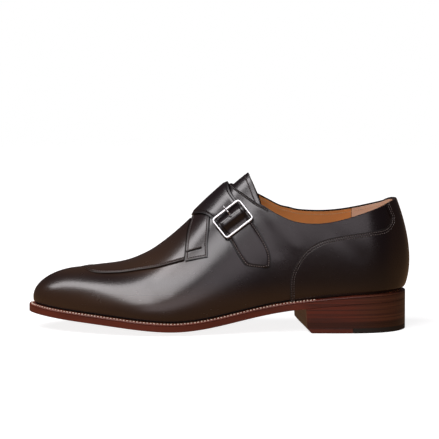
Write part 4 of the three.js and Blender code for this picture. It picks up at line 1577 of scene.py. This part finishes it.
class SHOE_OT_strap(bpy.types.Operator):
    """Makes the strap"""

    bl_idname = "shoe.strap"
    bl_label = "Strap"
    bl_options = {"REGISTER", "UNDO"}

    def execute(self, context):
        make_strap()
        return {"FINISHED"}


class SHOE_OT_buckle(bpy.types.Operator):
    """Makes the buckle's frame and prong"""

    bl_idname = "shoe.buckle"
    bl_label = "Buckle"
    bl_options = {"REGISTER", "UNDO"}

    def execute(self, context):
        make_buckle()
        return {"FINISHED"}


class SHOE_OT_sole(bpy.types.Operator):
    """Makes the insole, the welt and the outsole"""

    bl_idname = "shoe.sole"
    bl_label = "Sole"
    bl_options = {"REGISTER", "UNDO"}

    def execute(self, context):
        make_sole()
        return {"FINISHED"}


class SHOE_OT_heel(bpy.types.Operator):
    """Makes the stacked heel"""

    bl_idname = "shoe.heel"
    bl_label = "Heel"
    bl_options = {"REGISTER", "UNDO"}

    def execute(self, context):
        make_heel()
        return {"FINISHED"}


class SHOE_OT_stitching(bpy.types.Operator):
    """Lays the stitches of the seams"""

    bl_idname = "shoe.stitching"
    bl_label = "Stitching"
    bl_options = {"REGISTER", "UNDO"}

    def execute(self, context):
        make_stitching()
        return {"FINISHED"}


class SHOE_OT_stage(bpy.types.Operator):
    """Sets up the floor, the lights and the camera"""

    bl_idname = "shoe.stage"
    bl_label = "Stage"
    bl_options = {"REGISTER", "UNDO"}

    def execute(self, context):
        make_stage()
        return {"FINISHED"}


OPERATORS = (
    SHOE_OT_upper, SHOE_OT_panels, SHOE_OT_tongue, SHOE_OT_strap, SHOE_OT_buckle, SHOE_OT_sole, SHOE_OT_heel,
    SHOE_OT_stitching, SHOE_OT_stage,
)


class SHOE_PT_panel(bpy.types.Panel):
    """Lists the shoe's pieces"""

    bl_label = "Monk Strap Shoe"
    bl_idname = "SHOE_PT_panel"
    bl_space_type = "VIEW_3D"
    bl_region_type = "UI"
    bl_category = "Shoe"

    def draw(self, context):
        for group in (context.scene.shoe_sizes, context.scene.shoe_colours):
            for name in group.__annotations__:
                self.layout.prop(group, name)
        for made in OPERATORS:
            self.layout.operator(made.bl_idname)


CLASSES = (ShoeSizes, ShoeColours, *OPERATORS, SHOE_PT_panel)


def register():
    for made in CLASSES:
        bpy.utils.register_class(made)
    bpy.types.Scene.shoe_sizes = PointerProperty(type=ShoeSizes)
    bpy.types.Scene.shoe_colours = PointerProperty(type=ShoeColours)


def unregister():
    del bpy.types.Scene.shoe_colours
    del bpy.types.Scene.shoe_sizes
    for made in reversed(CLASSES):
        bpy.utils.unregister_class(made)


def main():
    register()
    for made in OPERATORS:
        getattr(bpy.ops.shoe, made.bl_idname.split(".")[1])()


if __name__ == "__main__":
    main()
